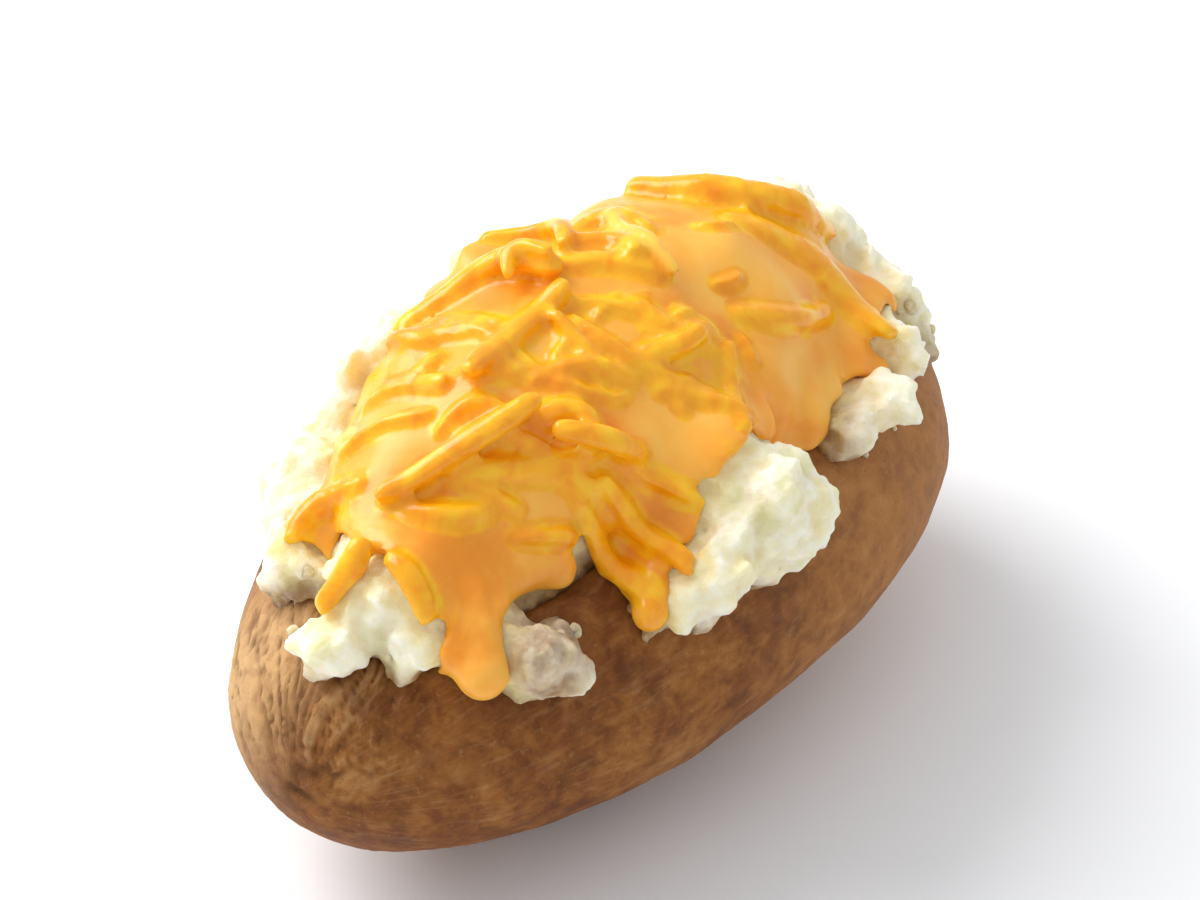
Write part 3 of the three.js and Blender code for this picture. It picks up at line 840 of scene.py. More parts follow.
@dataclass(frozen=True)
class CheeseFinish:
    """Melted cheese: pale orange sauce, deeper yellow-orange where grated cheddar melts into it, deep
    orange that is partly painted shade, and a painted highlight on two thin strips.
    """

    oranges: Stops = ((0.34, "f8a02c"), (0.52, "fcb23f"), (0.7, "fdbf54"))
    yellows: Stops = ((0.34, "f09a06"), (0.5, "fbae0c"), (0.66, "ffc41c"))
    cloud_mm: float = 11.0
    soft_mm: float = 2.4
    vein_mm: float = 4.5
    ripple_mm: float = 1.5
    ragged: Spread = (0.3, 0.7, -0.18, 0.18)
    puddles: Tint = Tint("fdbf54", 0.15, 0.75, 0.5)
    # Deep orange, partly pooled sauce and partly painted shade.
    pools_and_shade: Tint = Tint("ea9018", 0.15, 0.8, 0.9)
    streak_share: float = 0.6
    soaked: Spread = (0.1, 0.9, 0.0, 0.9)
    # Painted highlight on the thin strips.
    painted_highlight: Tint = Tint("ffdc6e", 0.0, 1.0, 0.45)
    dullness: Spread = (0.0, 0.9, 0.34, 0.22)
    shine: float = 0.4
    depth_share: float = 0.45
    depth_colour: Place = (1.0, 0.72, 0.35)
    depth: float = 0.0014
    ripple_depth: float = 0.04

    def material(self) -> Material:
        """Builds the material.

        Returns:
            The finished material.
        """
        g = Graph("melted_cheese_finish")
        clouds = g.noise(self.cloud_mm, detail=3.0, distortion=0.8)
        ragged = g.spread(g.noise(self.soft_mm, detail=2.0), *self.ragged)
        veins = g.noise(self.vein_mm, detail=3.0, distortion=0.6)
        colour = g.ramp(clouds, self.oranges)
        # Pale puddles, and deep orange that is partly pooled sauce and partly painted shade.
        for name, tint in (("pale", self.puddles), ("pool_and_shade", self.pools_and_shade)):
            colour = g.tinted(colour, g.maths("ADD", g.attribute(name), ragged), tint)
        streaks = g.maths("MULTIPLY", g.attribute("streaks"), self.streak_share)
        soaked = g.maths("ADD", g.maths("ADD", g.attribute("cheddar"), ragged), streaks)
        strips = g.spread(soaked, *self.soaked)
        colour = g.mix(strips, colour, g.ramp(veins, self.yellows))
        # Painted highlight on the thin strips.
        colour = g.tinted(colour, g.attribute("painted_highlight"), self.painted_highlight)
        g.fill(
            g.shader,
            Base_Color=colour,
            Roughness=g.spread(strips, *self.dullness),
            Subsurface_Weight=self.depth_share,
            Subsurface_Radius=self.depth_colour,
            Subsurface_Scale=self.depth,
            Specular_IOR_Level=self.shine,
            Normal=g.bump(g.noise(self.ripple_mm, detail=2.0), self.ripple_depth),
        )
        return g.material


@dataclass(frozen=True)
class FloorFinish:
    """Matt white studio paper."""

    whites: Stops = ((0.3, "f9f9fb"), (0.7, "fbfbfc"))
    cloud_mm: float = 60.0
    dullness: float = 0.9
    shine: float = 0.1

    def material(self) -> Material:
        """Builds the material.

        Returns:
            The finished material.
        """
        g = Graph("studio_paper")
        g.fill(
            g.shader,
            Base_Color=g.ramp(g.noise(self.cloud_mm), self.whites),
            Roughness=self.dullness,
            Specular_IOR_Level=self.shine,
        )
        return g.material


# ---------------------------------------------------------------- skin


@dataclass(frozen=True)
class Slit:
    """A short dark cut in the skin, from one place to another, in millimetres."""

    start: Place
    end: Place
    width: float = 0.7
    depth: float = 0.6

    def closeness(self, points: Array) -> Array:
        """How near each point lies to the cut.

        Args:
            points: One row of millimetres for each point.

        Returns:
            One value for each point, 1 on the cut and 0 well away from it.
        """
        start, way = np.array(self.start), np.array(self.end) - np.array(self.start)
        along = np.clip((points - start) @ way / (way @ way), 0, 1)
        gap = points - start - along[:, None] * way
        return np.exp(-((np.linalg.norm(gap, axis=1) / self.width) ** 2))


SLITS = (
    Slit((-64.7, 1.4, 27.6), (-64.6, -2.2, 26.9)),
    Slit((-64.2, -0.2, 31.1), (-63.8, -2.9, 31.0)),
    Slit((-63.4, -3.1, 32.4), (-63.0, -4.8, 31.5)),
)


@dataclass(frozen=True)
class Eyes:
    """Shallow dents with a raised brow, where sprouts would start."""

    count: int = 6
    along: float = 0.75
    around: float = 1.9
    widths: Range = (2.2, 3.6)
    stretch: float = 0.6
    girth: float = 1.35
    depth: float = 0.45
    brow: float = 0.4
    brow_from: float = 1.5
    brow_sharp: float = 4.0
    seed: int = 12

    def height(self, points: Array) -> Array:
        """What the dents and brows add to the skin.

        Args:
            points: One row of millimetres for each point.

        Returns:
            One height in millimetres for each point.
        """
        draw = random.Random(self.seed)
        height = np.zeros(len(points))
        for _ in range(self.count):
            x = draw.uniform(-self.along, self.along) * HALF_LENGTH
            turn = draw.uniform(-self.around, self.around)
            wide = draw.uniform(*self.widths)
            rise = POTATO.z * (1 - (x / HALF_LENGTH) ** 2) ** 0.5
            y = POTATO.y + self.girth * rise * math.sin(turn)
            gap = points - np.array([x, y, POTATO.z - rise * math.cos(turn)])
            gap[:, 0] *= self.stretch
            near = np.linalg.norm(gap, axis=1) / wide
            height -= self.depth * np.exp(-near * near)
            brow = np.exp(-((near - self.brow_from) ** 2) * self.brow_sharp)
            height += self.brow * self.depth * brow
        return height


@dataclass(frozen=True)
class PaintedReliefShading:
    """How much each kind of relief lightens or darkens the skin's colour, as a painted highlight where
    it rises and painted shade in creases, folds and cuts.
    """

    coarse: float = 0.9
    small: float = 0.4
    net: float = 0.2
    scales: float = 0.8
    level: float = 0.55
    cuts: float = 1.4


@dataclass(frozen=True)
class PotatoSkin:
    """The baked skin, a shell with creases that run from end to end and gather at the ends.

    The bark is the rough patch of loose folds and scales at the low end's far side.
    """

    rounding: int = 2
    flat_angle: float = 0.7
    outer: Rise = Rise(0.15, 0.6)
    seen: float = 0.05
    wrinkles_round: float = 9.0
    wrinkle_length: float = 13.0
    grain_swirl: Swirl = Swirl(13.0, 9.3, 6.0)
    crease_swirl: Swirl = Swirl(1.9, 3.1, 1.1)
    fibre_swirl: Swirl = Swirl(7.0, 7.7, 3.4)
    fibre_squeeze: Place = (0.42, 0.8, 0.8)
    coarse: Field = Field(1.0, 5.3)
    coarse_sharp: float = 4.0
    fine: Field = Field(1.0, 8.9)
    fine_squeeze: Place = (1.4, 2.1, 2.1)
    fine_sharp: float = 3.6
    scales: Domes = Domes(1.5, 1.9)
    folds: Field = Field(2.0, 17.3)
    net: Field = Field(1.7, 2.7)
    lumps: Field = Field(9.0, 4.4)
    patches: Field = Field(14.0, 11.7)
    patch_rise: Rise = Rise(0.0, 0.45)
    low_end: Rise = Rise(-36.0, -56.0)
    far_end: Rise = Rise(46.0, 63.0)
    tips: Rise = Rise(HALF_LENGTH, HALF_LENGTH - 3.0)
    bark_x: Rise = Rise(-42.0, -54.0)
    bark_y: Rise = Rise(-16.0, -2.0)
    bark_z: Rise = Rise(22.0, 36.0)
    calm: float = 0.08
    calm_even: float = 0.5
    calm_far: float = 2.0
    low_share: float = 0.12
    bark_share: float = 0.9
    wrinkle_depth: float = 0.4
    wrinkle_level: float = 0.3
    small_share: float = 0.45
    coarse_height: float = 0.35
    fold_depth: float = 0.45
    fold_level: float = 0.5
    scale_share: float = 0.9
    net_depth: float = 0.06
    lump_depth: float = 0.3
    sunk: float = 0.3
    tone: PaintedReliefShading = PaintedReliefShading()
    # Where the low end turns pale brown, partly the skin's own colour and partly painted light on its
    # upper back side.
    tan_and_light_rise: Rise = Rise(-4.0, 19.0)
    tan_lean: float = 0.35
    tan_height: float = 30.0
    tan_and_light_share: float = 0.85
    # Painted light that lightens the skin towards the far end.
    lit_rise: Rise = Rise(-20.0, 30.0)
    lit_share: float = 0.65

    def grain(self, points: Array) -> Array:
        """Coordinates that run along the potato and round it, so that patterns gather at its ends.

        Args:
            points: One row of millimetres for each point.

        Returns:
            One row of coordinates for each point, in which one wrinkle is about one wide.
        """
        turn = np.arctan2(points[:, 1] - POTATO.y, POTATO.z - points[:, 2])
        wide = self.wrinkles_round
        return np.stack(
            [points[:, 0] / self.wrinkle_length, wide * np.cos(turn), wide * np.sin(turn)], 1
        )

    def outside(self, points: Array, normals: Array) -> Array:
        """How much each point belongs to the outer face, from 0 to 1."""
        return self.outer.at(np.einsum("ij,ij->i", POTATO.away(points), normals))

    def shell(self) -> Object:
        """Rounds the CAD shell and splits its outer faces once more than its hidden ones.

        Returns:
            The smooth shell.
        """
        bm = merged_node("potato_skin")
        angle = self.flat_angle
        bmesh.ops.join_triangles(
            bm, faces=bm.faces, angle_face_threshold=angle, angle_shape_threshold=angle
        )
        obj = object_of(bm, "baked_skin")
        subdivide(obj, self.rounding)
        weights = self.outside(points_mm(obj), normals_of(obj))
        bm = bmesh.new()
        bm.from_mesh(obj.data)
        edges = [e for e in bm.edges if min(weights[v.index] for v in e.verts) > self.seen]
        bmesh.ops.subdivide_edges(
            bm, edges=edges, cuts=1, smooth=1.0, smooth_falloff="LINEAR", use_grid_fill=True
        )
        bm.to_mesh(obj.data)
        bm.free()
        return obj

    def wrinkle(self, obj: Object) -> None:
        """Presses creases, lumps and dents into the outer face and stores what they are, with the
        painted light and shade that the colour takes from them.

        Args:
            obj: The smooth shell.
        """
        points, normals = points_mm(obj), normals_of(obj)
        x, y, z = points.T
        low_end = self.low_end.at(x)
        bark = self.bark_x.at(x) * self.bark_z.at(z) * self.bark_y.at(y)
        calm = self.calm_even + self.patch_rise.at(self.patches.at(points))
        strength = self.calm * (calm + self.calm_far * self.far_end.at(x))
        strength = strength + self.low_share * low_end + self.bark_share * bark
        strength *= self.tips.at(np.abs(x))
        along = self.crease_swirl.moved(self.grain(self.grain_swirl.moved(points)))
        coarse = np.abs(self.coarse.at(along))
        creases = lines(coarse, self.coarse_sharp) ** 2
        small = lines(self.fine.at(along * np.array(self.fine_squeeze)), self.fine_sharp) ** 2
        scales = self.scales.at(self.fibre_swirl.moved(points) * np.array(self.fibre_squeeze))
        net = self.net.at(points)
        dips = self.wrinkle_depth * (creases + self.small_share * small)
        folds = self.folds.at(along) + self.scale_share * scales - self.fold_level
        height = strength * (self.wrinkle_level - dips + self.coarse_height * coarse)
        height += self.fold_depth * bark * folds
        height += self.net_depth * net + self.lump_depth * self.lumps.at(points)
        height += Eyes().height(points)
        cuts = np.zeros(len(points))
        for slit in SLITS:
            cuts = np.maximum(cuts, slit.closeness(points))
            height -= slit.depth * slit.closeness(points)
        weight = self.outside(points, normals)
        place_points(obj, points + normals * (weight * (height - self.sunk))[:, None])
        # Painted highlight on raised relief and scale tops, painted shade in creases, between scales
        # and in cuts.
        tone = self.tone
        painted_relief_shading = strength * (tone.coarse * coarse - creases - tone.small * small) + tone.net * net
        painted_relief_shading += bark * (tone.scales * scales - tone.level)
        # Pale brown on the low end's upper back side, partly the skin's own colour and partly painted
        # light.
        tan_and_painted_shading = low_end * self.tan_and_light_rise.at(y + self.tan_lean * (z - self.tan_height))
        keep(obj, "painted_relief_shading", painted_relief_shading - tone.cuts * cuts)
        keep(obj, "tan_and_painted_shading", self.tan_and_light_share * tan_and_painted_shading)
        # Painted light that grows towards the far end.
        keep(obj, "painted_light", self.lit_share * self.lit_rise.at(x))
        keep(obj, "grain", self.grain(points) / self.wrinkles_round)

    def build(self) -> Object:
        """Builds and dresses the skin.

        Returns:
            The finished piece.
        """
        obj = self.shell()
        self.wrinkle(obj)
        dress(obj, SkinFinish().material(), Slot.SKIN, "potato_skin")
        return obj


# ---------------------------------------------------------------- cheese


@dataclass(frozen=True)
class Drip:
    """A thick round end of the sauce, from one place to another, in millimetres."""

    start: Place
    end: Place
    radius: float
    beads: int


@dataclass(frozen=True)
class Strands:
    """Thin strips of cheddar that have all but melted into the sheet, laid by chance.

    Span and turns say where a strand's middle may lie along the heap and round it, and headings
    which way it may run; turns and headings are in degrees. The lever is how far the sheet is taken
    to lie from the heap's middle line, and deepest is how far inwards a strand may be let down.
    """

    count: int
    span: Range
    turns: Range
    headings: Range
    lengths: Range
    bend: float
    radii: Range
    seed: int
    spacing: float = 0.4
    thin_ends: float = 0.35
    sunk: float = 0.15
    lever: float = 33.0
    deepest: float = 62.4

    def laid(self, sheet: BVHTree) -> tuple[Array, Array]:
        """Lays the strands over the sheet, each a row of balls.

        Args:
            sheet: The sheet's faces.

        Returns:
            The balls' places and radii, in millimetres.
        """
        draw = np.random.default_rng(self.seed)
        places, radii = [], []
        for _ in range(self.count):
            x, turn = draw.uniform(*self.span), math.radians(draw.uniform(*self.turns))
            heading, length = math.radians(draw.uniform(*self.headings)), draw.uniform(*self.lengths)
            bend, radius = draw.uniform(-self.bend, self.bend), draw.uniform(*self.radii)
            for step in np.arange(-0.5, 0.5, self.spacing * radius / length):
                side = bend * (1.0 - 4.0 * step * step)
                along = step * length
                place = x + along * math.cos(heading) - side * math.sin(heading)
                arc = along * math.sin(heading) + side * math.cos(heading)
                angle = turn + arc / self.lever
                way = Vector((0.0, math.cos(angle), -math.sin(angle)))
                start = Vector((place, HEAP.y, HEAP.z)) - way * OUTSIDE
                hit = sheet.ray_cast(start * MM, way, self.deepest * MM)[0]
                if hit is not None:
                    slim = radius * (1.0 - self.thin_ends * abs(2.0 * step) ** 4)
                    places.append(np.array(hit) / MM + np.array(way) * slim * self.sunk)
                    radii.append(slim)
        return np.array(places), np.array(radii)


@dataclass(frozen=True)
class Spot:
    """A round patch with a tone of its own, in millimetres."""

    place: Place
    reach: float


def share_of(spots: tuple[Spot, ...], points: Array) -> Array:
    """How much each point belongs to the nearest of some spots, 1 in its middle and 0 outside."""
    shares = [
        np.exp(-((np.linalg.norm(points - np.array(spot.place), axis=1) / spot.reach) ** 2))
        for spot in spots
    ]
    return np.max(shares, axis=0)


DRIPS = (
    Drip((-42.5, -12.0, 50.5), (-48.3, -17.9, 44.9), 3.8, 9),
    Drip((-19.5, -24.4, 47.5), (-25.0, -27.3, 43.4), 2.6, 9),
    Drip((20.0, -19.0, 52.0), (16.2, -23.6, 47.8), 3.8, 9),
    Drip((8.0, -20.5, 55.5), (4.2, -24.0, 53.6), 2.6, 9),
)
# Where the sauce is tinted deep orange: partly thick pooled cheddar, partly painted shade, as on the
# shaded left half of the big drip.
POOLS_AND_SHADE = (
    Spot((-48.5, -14.5, 48.0), 4.6),
    Spot((-44.5, -9.5, 52.0), 5.5),
    Spot((-42.0, -10.1, 54.0), 7.5),
    Spot((-37.0, -2.1, 59.0), 5.0),
    Spot((-18.0, -12.1, 61.5), 5.5),
    Spot((4.0, -11.1, 66.0), 4.2),
    Spot((-18.0, -23.1, 49.5), 6.0),
    Spot((-8.0, 9.9, 68.0), 4.0),
    Spot((8.0, -15.6, 62.0), 4.0),
    Spot((38.0, -15.1, 52.0), 5.0),
)
# Where the sauce is smooth and pale.
PUDDLES = (
    Spot((-16.0, 0.9, 67.0), 5.5),
    Spot((-32.0, 6.9, 63.0), 4.5),
    Spot((-9.0, -17.1, 60.5), 5.5),
    Spot((25.0, -11.0, 63.0), 6.5),
    Spot((-46.0, -18.6, 45.0), 2.8),
    Spot((-35.0, -7.1, 59.0), 4.5),
    Spot((-28.0, -14.1, 56.0), 6.0),
    Spot((17.0, -21.1, 51.0), 5.0),
)
# How far each half-melted strip has sunk into the sauce, by its number, in millimetres.
MELTED = {
    "04": 0.35,
    "07": 0.9,
    "08": 0.5,
    "09": 0.5,
    "10": 0.5,
    "17": 0.8,
    "18": 0.8,
    "27": 0.8,
    "33": 0.9,
    "34": -0.9,
    "35": 0.0,
}
# Thin strips that carry a painted highlight, by number.
HIGHLIGHTED_STRIPS = ("18", "33")
STRANDS = (
    Strands(
        count=16,
        span=(-42.0, 6.0),
        turns=(44.0, 108.0),
        headings=(-95.0, -40.0),
        lengths=(9.0, 17.0),
        bend=3.0,
        radii=(1.3, 1.8),
        seed=63,
    ),
    Strands(
        count=15,
        span=(-14.0, 36.0),
        turns=(48.0, 80.0),
        headings=(-120.0, 20.0),
        lengths=(2.5, 7.0),
        bend=1.5,
        radii=(0.95, 1.3),
        seed=29,
    ),
)
# Turns and squeezes places so that noise on them runs in streaks down the near slope.
STREAK_WAY = np.array([[0.42, 0.1, 0.0], [-0.16, 0.16, 0.0], [0.05, 0.0, 0.14]])


@dataclass(frozen=True)
class MeltedCheese:
    """The poured sauce and the grated cheddar that melts into it, as one soft sheet.

    The rounds say how often a form is evened out, and the holds how well it keeps its volume.
    """

    sheet_voxel: float = 0.6
    corner_rounds: int = 6
    sheet_rounds: int = 18
    sheet_hold: float = 0.5
    voxel: float = 0.45
    rounds: int = 5
    hold: float = 0.45
    sauce_swell: float = 0.85
    shred_swell: float = 0.72
    shred_rounding: int = 2
    shred_rounds: int = 3
    shrink: float = 0.4
    settle: float = 0.3
    drip_start: float = 0.75
    drip_widening: float = 0.25
    ball_splits: int = 2
    ball_stretch: Range = (0.95, 1.05)
    ball_roughness: float = 0.06
    bead_seed: int = 5
    strand_seed: int = 6
    hidden_reach: float = 3.0
    ripples: Field = Field(6.0, 21.0)
    ripple_depth: float = 0.3
    streak_swirl: Swirl = Swirl(9.0, 31.0, 4.5)
    streak_field: Field = Field(1.0, 12.9)
    streak_sharp: float = 3.2
    streak_patches: Field = Field(12.0, 6.1)
    streak_rise: Rise = Rise(-0.15, 0.3)
    streak_level: float = 0.4
    streak_depth: float = 0.12
    puddle_calm: float = 0.8
    soaked: Rise = Rise(1.15, 0.5)
    # How near a thin strip a point lies for its painted highlight.
    painted_highlight: Rise = Rise(1.2, 0.4)
    far: float = 4.0

    def swollen(self, node: str, amount: float, sunk: float) -> Object:
        """A rounded copy of a CAD node, swollen so that it meets its neighbours.

        Args:
            node: The node's name.
            amount: How much it swells, in millimetres.
            sunk: How far it is let down into what it lies on, in millimetres.

        Returns:
            The copy.
        """
        obj = object_of(merged_node(node), node + "_soft")
        subdivide(obj, self.shred_rounding)
        points = evened(obj, self.shred_rounds, 0.0)
        place_points(obj, points + normals_of(obj) * amount - HEAP.away(points) * sunk)
        return obj

    def balls(self, name: str, places: Array, radii: Array, seed: int) -> Object:
        """Nearly round balls of cheese, one at each place."""
        ball, draw = Grain(self.ball_splits, self.ball_stretch), np.random.default_rng(seed)
        return ball.stamped(name, places, radii, self.ball_roughness, draw)

    def sheet(self) -> Object:
        """The sauce alone, with its drips, as one smooth sheet.

        Returns:
            The sheet.
        """
        sauce = self.swollen("cheese_sauce", self.sauce_swell, 0.0)
        places, radii = [], []
        for drip in DRIPS:
            start, end = np.array(drip.start), np.array(drip.end)
            for bead in range(drip.beads):
                share = bead / (drip.beads - 1)
                places.append(start + share * (end - start))
                radii.append(drip.radius * (self.drip_start + self.drip_widening * share))
        beads = self.balls("beads", np.array(places), np.array(radii) + self.shrink, self.bead_seed)
        obj = joined("sauce_sheet", sauce, beads)
        remesh(obj, self.sheet_voxel)
        points = eased(obj, points_mm(obj), self.corner_rounds, 0.0)
        place_points(obj, eased(obj, points, self.sheet_rounds, self.sheet_hold))
        return obj

    def streaks(self, points: Array) -> Array:
        """Streaks that the flow has drawn out, 1 on a streak's back and 0 between them."""
        flow = self.streak_field.at(self.streak_swirl.moved(points) @ STREAK_WAY)
        return lines(flow, self.streak_sharp) * self.streak_rise.at(self.streak_patches.at(points))

    def build(self, skin: Object) -> Object:
        """Builds and dresses the cheese.

        Args:
            skin: The finished skin, which hides some of the cheese's underside.

        Returns:
            The finished piece.
        """
        shreds = sorted(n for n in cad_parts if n.startswith("cheddar_shred"))
        soft = [
            self.swollen(node, self.shred_swell, MELTED.get(node[-2:], self.settle))
            for node in shreds
        ]
        sheet = self.sheet()
        under = tree_of(sheet)
        places, radii = (
            np.concatenate(parts) for parts in zip(*[strands.laid(under) for strands in STRANDS])
        )
        strands = self.balls("strands", places, radii, self.strand_seed)
        cheddar = tree_of(strands, *soft)
        obj = joined("melted_cheese", sheet, strands, *soft)
        remesh(obj, self.voxel)
        points = evened(obj, self.rounds, self.hold)
        flesh = tree_of(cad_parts["potato_flesh"], skin)
        thin_out(obj, covered(points, normals_of(obj), flesh, self.hidden_reach))
        points, normals = points_mm(obj), normals_of(obj)
        puddles = share_of(PUDDLES, points)
        streaks = self.streaks(points) * (1.0 - self.puddle_calm * puddles)
        height = self.ripple_depth * self.ripples.at(points)
        height = height + self.streak_depth * (streaks - self.streak_level) - self.shrink
        place_points(obj, points + normals * height[:, None])
        # Painted highlight near the thin strips.
        painted_highlight = tree_of(*[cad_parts["cheddar_shred_" + number] for number in HIGHLIGHTED_STRIPS])
        keep(obj, "painted_highlight", self.painted_highlight.at(distances_mm(points, painted_highlight, self.far)))
        keep(obj, "cheddar", self.soaked.at(distances_mm(points, cheddar, self.far)))
        keep(obj, "streaks", streaks)
        # Deep orange spots, partly pooled sauce and partly painted shade.
        keep(obj, "pool_and_shade", share_of(POOLS_AND_SHADE, points))
        keep(obj, "pale", puddles)
        dress(obj, CheeseFinish().material(), Slot.SAUCE, "cheese_sauce", *shreds)
        return obj


# ---------------------------------------------------------------- flesh


# Where painted shade browns the flesh, on lobes that lie in shade.
SHADED_LOBES = (
    Spot((-42.0, -22.5, 46.0), 5.5),
    Spot((-37.5, -22.5, 44.5), 6.0),
    Spot((-43.0, -25.0, 42.5), 4.5),
    Spot((17.5, -26.5, 46.5), 4.5),
)
# Where no lump of flesh hangs over the skin.
BARE = (Spot((-52.0, -15.2, 41.0), 5.0),)


@dataclass(frozen=True)
class Lumps:
    """Many lumps of mash of one size that stand out of the flesh."""

    count: int
    radii: Range
    standing: float
    splits: int = 2


@dataclass(frozen=True)
class PotatoFlesh:
    """The fluffy flesh: crumbly lumps on lumps, with deep creases between them.

    The rounds say how often a form is evened out, and the holds how well it keeps its volume. The
    reaches say how far a cover may lie in front of flesh that it hides.
    """

    base_voxel: float = 0.8
    base_rounds: int = 12
    base_hold: float = 0.5
    base_sink: float = 0.9
    skin_reach: float = 8.0
    cheese_reach: float = 6.0
    lowest: float = 30.0
    layers: tuple[Lumps, ...] = (
        Lumps(95, (2.8, 5.0), 0.3),
        Lumps(270, (1.4, 2.6), 0.32),
        Lumps(560, (0.8, 1.4), 0.36, 1),
    )
    room_share: float = 0.6
    room_far: float = 3.0
    bare_share: float = 0.37
    buried: float = 7.0
    roughness: float = 0.75
    seed: int = 41
    voxel: float = 0.46
    rounds: int = 8
    hold: float = 0.3
    swell: float = 0.35
    under_skin: float = 6.0
    under_cheese: float = 4.0
    pit_rounds: int = 14
    # How deep a hollow is for full painted shade.
    pit: Rise = Rise(-0.1, 0.5)
    crags: tuple[Range, ...] = ((0.5, 2.4), (0.28, 1.0))
    crag_shift: float = 3.0
    crag_level: float = 0.1
    tan_and_painted_shading: Rise = Rise(5.5, 0.5)
    tan_far: float = 11.0
    stain: Rise = Rise(4.0, 0.4)
    stain_far: float = 4.0

    def mound(self, skin: BVHTree, cheese: BVHTree) -> Object:
        """The flesh's form with its lumps on what shows of it.

        Args:
            skin: The faces of the skin.
            cheese: The faces of the cheese.

        Returns:
            The lumpy flesh, its shells not yet fused.
        """
        base = object_of(merged_node("potato_flesh"), "flesh_form")
        remesh(base, self.base_voxel)
        points = evened(base, self.base_rounds, self.base_hold)
        normals = normals_of(base)
        shows = ~covered(points, normals, skin, self.skin_reach)
        shows &= ~covered(points, normals, cheese, self.cheese_reach)
        shows &= points[:, 2] > self.lowest
        place_points(base, points - self.base_sink * normals * shows[:, None])
        places, ways = points[shows], normals[shows]
        room = distances_mm(places, cheese, self.room_far)
        bare = share_of(BARE, places) > self.bare_share
        draw = np.random.default_rng(self.seed)
        pieces = [base]
        for layer in self.layers:
            chosen = draw.integers(0, len(places), layer.count)
            radii = draw.uniform(*layer.radii, layer.count)
            fits = room[chosen] > self.room_share * radii
            chosen, radii = chosen[fits], radii[fits]
            sunk = self.base_sink + radii * (1.0 - 2.0 * layer.standing)
            sunk += np.where(bare[chosen], self.buried, 0.0)
            centres = places[chosen] - ways[chosen] * sunk[:, None]
            lump = Grain(layer.splits)
            pieces.append(lump.stamped("lumps", centres, radii, self.roughness, draw))
        return joined("fluffy_flesh", *pieces)

    def fuse(self, obj: Object) -> Array:
        """Fuses the lumps; swelling and shrinking again closes what is narrow between them.

        Args:
            obj: The lumpy flesh.

        Returns:
            Its new points, one row of millimetres each.
        """
        remesh(obj, self.voxel)
        place_points(obj, points_mm(obj) + self.swell * normals_of(obj))
        remesh(obj, self.voxel)
        points = evened(obj, self.rounds, self.hold) - self.swell * normals_of(obj)
        place_points(obj, points)
        return points

    def build(self, skin: Object, cheese: Object) -> Object:
        """Builds and dresses the flesh.

        Args:
            skin: The finished skin, which tans the flesh next to it.
            cheese: The finished cheese, which stains the flesh next to it.

        Returns:
            The finished piece.
        """
        shell, cover = tree_of(skin), tree_of(cheese)
        obj = self.mound(shell, cover)
        points = self.fuse(obj)
        normals = normals_of(obj)
        hidden = covered(points, normals, shell, self.under_skin)
        hidden |= covered(points, normals, cover, self.under_cheese)
        thin_out(obj, hidden | (points[:, 2] < self.lowest))
        points, normals = points_mm(obj), normals_of(obj)
        # How far each point lies below the middle of its neighbours; the flesh takes painted shade in
        # these hollows.
        smooth = eased(obj, points, self.pit_rounds, 0.0)
        pit = np.einsum("ij,ij->i", smooth - points, normals)
        crags = sum(
            depth * Field(size, self.crag_shift * size).at(points) for depth, size in self.crags
        )
        place_points(obj, points + normals * (crags - self.crag_level)[:, None])
        # Brown next to the skin, and painted shade on the shaded lobes.
        browned = self.tan_and_painted_shading.at(distances_mm(points, shell, self.tan_far))
        keep(obj, "pit", self.pit.at(pit))
        keep(obj, "tan_and_painted_shading", np.maximum(browned, share_of(SHADED_LOBES, points)))
        keep(obj, "stain", self.stain.at(distances_mm(points, cover, self.stain_far)))
        dress(obj, FleshFinish().material(), Slot.FLESH, "potato_flesh")
        return obj


@dataclass(frozen=True)
class FleshCrumbs:
    """Loose crumbs along the border of flesh and skin."""

    on_flesh: int = 26
    on_skin: int = 6
    lowest: float = 36.0
    upward: float = 0.1
    tried: int = 9000
    border: float = 5.0
    border_far: float = 10.0
    cover_reach: float = 9.0
    clear: float = 1.5
    clear_far: float = 3.0
    sizes: Range = (0.45, 0.95)
    mostly_small: float = 1.4
    splits: int = 3
    roughness: float = 0.35
    pit: float = 0.6
    tan_and_painted_shading: float = 0.5
    seed: int = 17

    def build(self, flesh: Object, skin: Object, cheese: Object) -> Object:
        """Scatters the crumbs.

        Args:
            flesh: The finished flesh, which carries most of them.
            skin: The finished skin, which carries a few next to the flesh.
            cheese: The finished cheese, which is kept clear.

        Returns:
            The finished piece.
        """
        draw = np.random.default_rng(self.seed)
        sauce, places = tree_of(cheese), []
        for carrier, other, count in (
            (flesh, tree_of(skin), self.on_flesh),
            (skin, tree_of(flesh), self.on_skin),
        ):
            points, normals = points_mm(carrier), normals_of(carrier)
            fit = (points[:, 2] > self.lowest) & (normals[:, 2] > self.upward)
            every = max(1, fit.sum() // self.tried)
            points, normals = points[fit][::every], normals[fit][::every]
            fit = ~covered(points, normals, other, self.cover_reach)
            fit &= distances_mm(points, sauce, self.clear_far) > self.clear
            fit &= distances_mm(points, other, self.border_far) < self.border
            points, normals = points[fit], normals[fit]
            chosen = draw.choice(len(points), min(count, len(points)), replace=False)
            places.append(points[chosen] + LIFT * normals[chosen])
        places = np.concatenate(places)
        radii = draw.uniform(*self.sizes, len(places)) ** self.mostly_small
        obj = Grain(self.splits).stamped("flesh_crumbs", places, radii, self.roughness, draw)
        points = points_mm(obj)
        for name, share in (("pit", self.pit), ("tan_and_painted_shading", self.tan_and_painted_shading), ("stain", 0.0)):
            keep(obj, name, np.full(len(points), share))
        place_points(obj, points)
        dress(obj, flesh.data.materials[0], Slot.FLESH)
        return obj


# ---------------------------------------------------------------- studio


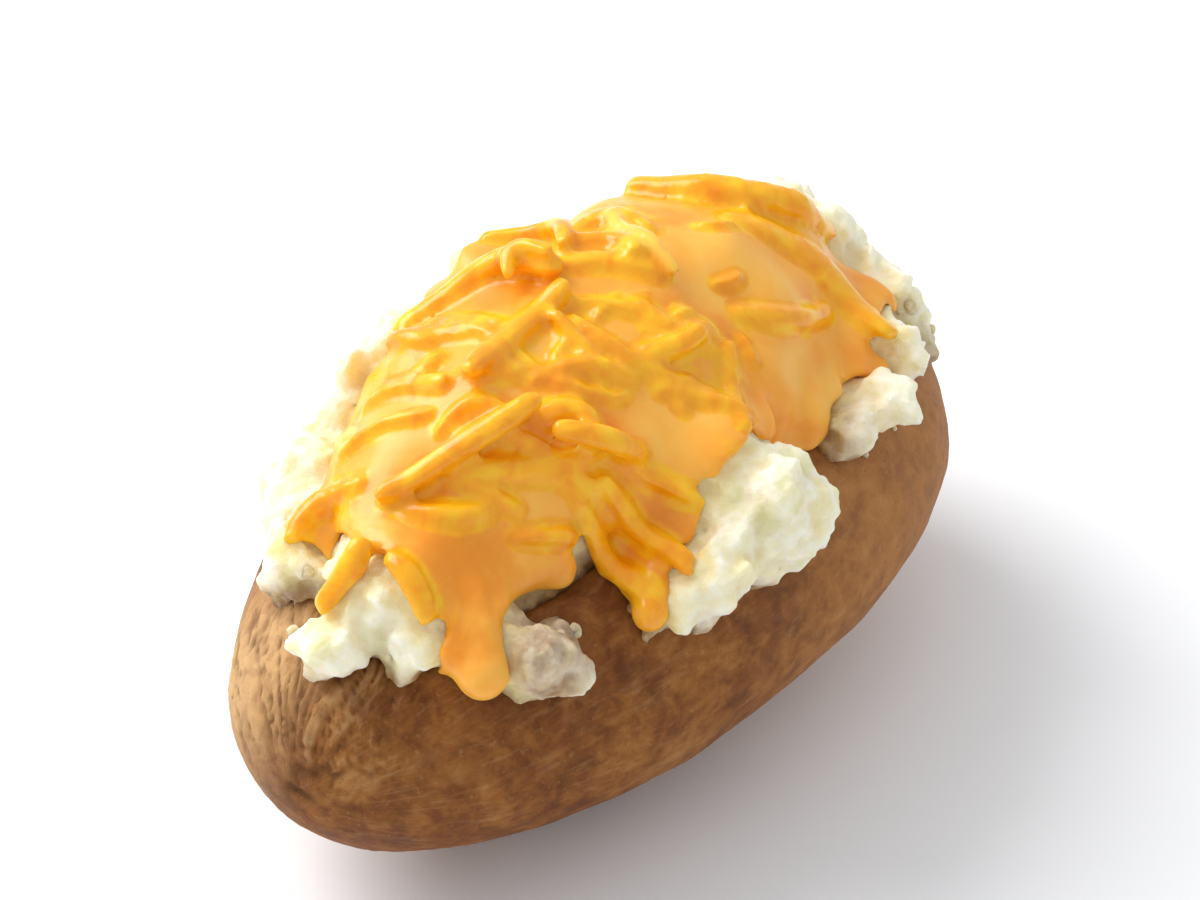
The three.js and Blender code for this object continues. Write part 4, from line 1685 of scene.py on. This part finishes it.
@dataclass(frozen=True)
class Studio:
    """White paper, a large soft lamp to the upper left and a camera above the near end.

    The camera looks a little past its target; aim_right, aim_up and focal say how far, and how long
    its lens is, in points of the picture. The paper and the lamp are in metres.
    """

    azimuth: float = -54.31
    elevation: float = 38.0
    distance: float = 620.0
    target: Place = (0.0, 0.89, 35.0)
    lens: float = 137.33
    sensor: float = 36.0
    clip: Range = (0.01, 20.0)
    focal: float = 4577.6
    aim_right: float = 14.8
    aim_up: float = 40.0
    floor_half: float = 1.6
    lamp_from: Place = (-0.12, 0.99, 1.0)
    lamp_distance: float = 1.0
    lamp_size: float = 0.75
    lamp_power: float = 10.0
    sky: Colour = (0.95, 0.975, 1.0, 1.0)
    sky_strength: float = 0.75

    def camera(self) -> None:
        """Sets up the camera, turned a little aside from its target to frame the potato."""
        turn, rise = math.radians(self.azimuth), math.radians(self.elevation)
        flat, high = math.cos(rise), math.sin(rise)
        back = Vector((math.sin(turn) * flat, -math.cos(turn) * flat, high))
        right = Vector((math.cos(turn), math.sin(turn), 0.0))
        up = back.cross(right)
        aside = right * (self.aim_right / self.focal)
        aimed = (back - aside - up * (self.aim_up / self.focal)).normalized()
        right = up.cross(aimed).normalized()
        up = aimed.cross(right)
        data = bpy.data.cameras.new("camera")
        data.lens = self.lens
        data.sensor_width = self.sensor
        data.clip_start, data.clip_end = self.clip
        obj = linked("camera", data)
        place = Vector(self.target) * MM + back * (self.distance * MM)
        turned = Matrix((right, up, aimed)).transposed().to_4x4()
        obj.matrix_world = Matrix.Translation(place) @ turned
        bpy.context.scene.camera = obj

    def lamp(self) -> None:
        """Hangs the soft lamp."""
        data = bpy.data.lights.new("soft_lamp", "AREA")
        data.shape = "SQUARE"
        data.size = self.lamp_size
        data.energy = self.lamp_power
        obj = linked("soft_lamp", data)
        towards = Vector(self.lamp_from).normalized()
        obj.location = towards * self.lamp_distance
        obj.rotation_mode = "QUATERNION"
        obj.rotation_quaternion = towards.to_track_quat("Z", "Y")

    def floor(self) -> None:
        """Lays the paper."""
        bm = bmesh.new()
        bmesh.ops.create_grid(bm, x_segments=1, y_segments=1, size=self.floor_half)
        obj = object_of(bm, "studio_floor")
        obj.data.materials.append(FloorFinish().material())

    def build(self) -> None:
        """Sets up the whole studio."""
        world = bpy.data.worlds.new("studio")
        bpy.context.scene.world = world
        world.use_nodes = True
        light = world.node_tree.nodes["Background"]
        light.inputs["Color"].default_value = self.sky
        light.inputs["Strength"].default_value = self.sky_strength
        bpy.context.scene.view_settings.view_transform = "Standard"
        self.floor()
        self.lamp()
        self.camera()


def main() -> None:
    """Builds every piece in order, then the studio."""
    logging.basicConfig(level=logging.INFO, format="%(message)s")
    noise.seed_set(NOISE_SEED)
    skin = PotatoSkin().build()
    cheese = MeltedCheese().build(skin)
    flesh = PotatoFlesh().build(skin, cheese)
    FleshCrumbs().build(flesh, skin, cheese)
    Studio().build()


if __name__ == "__main__":
    main()
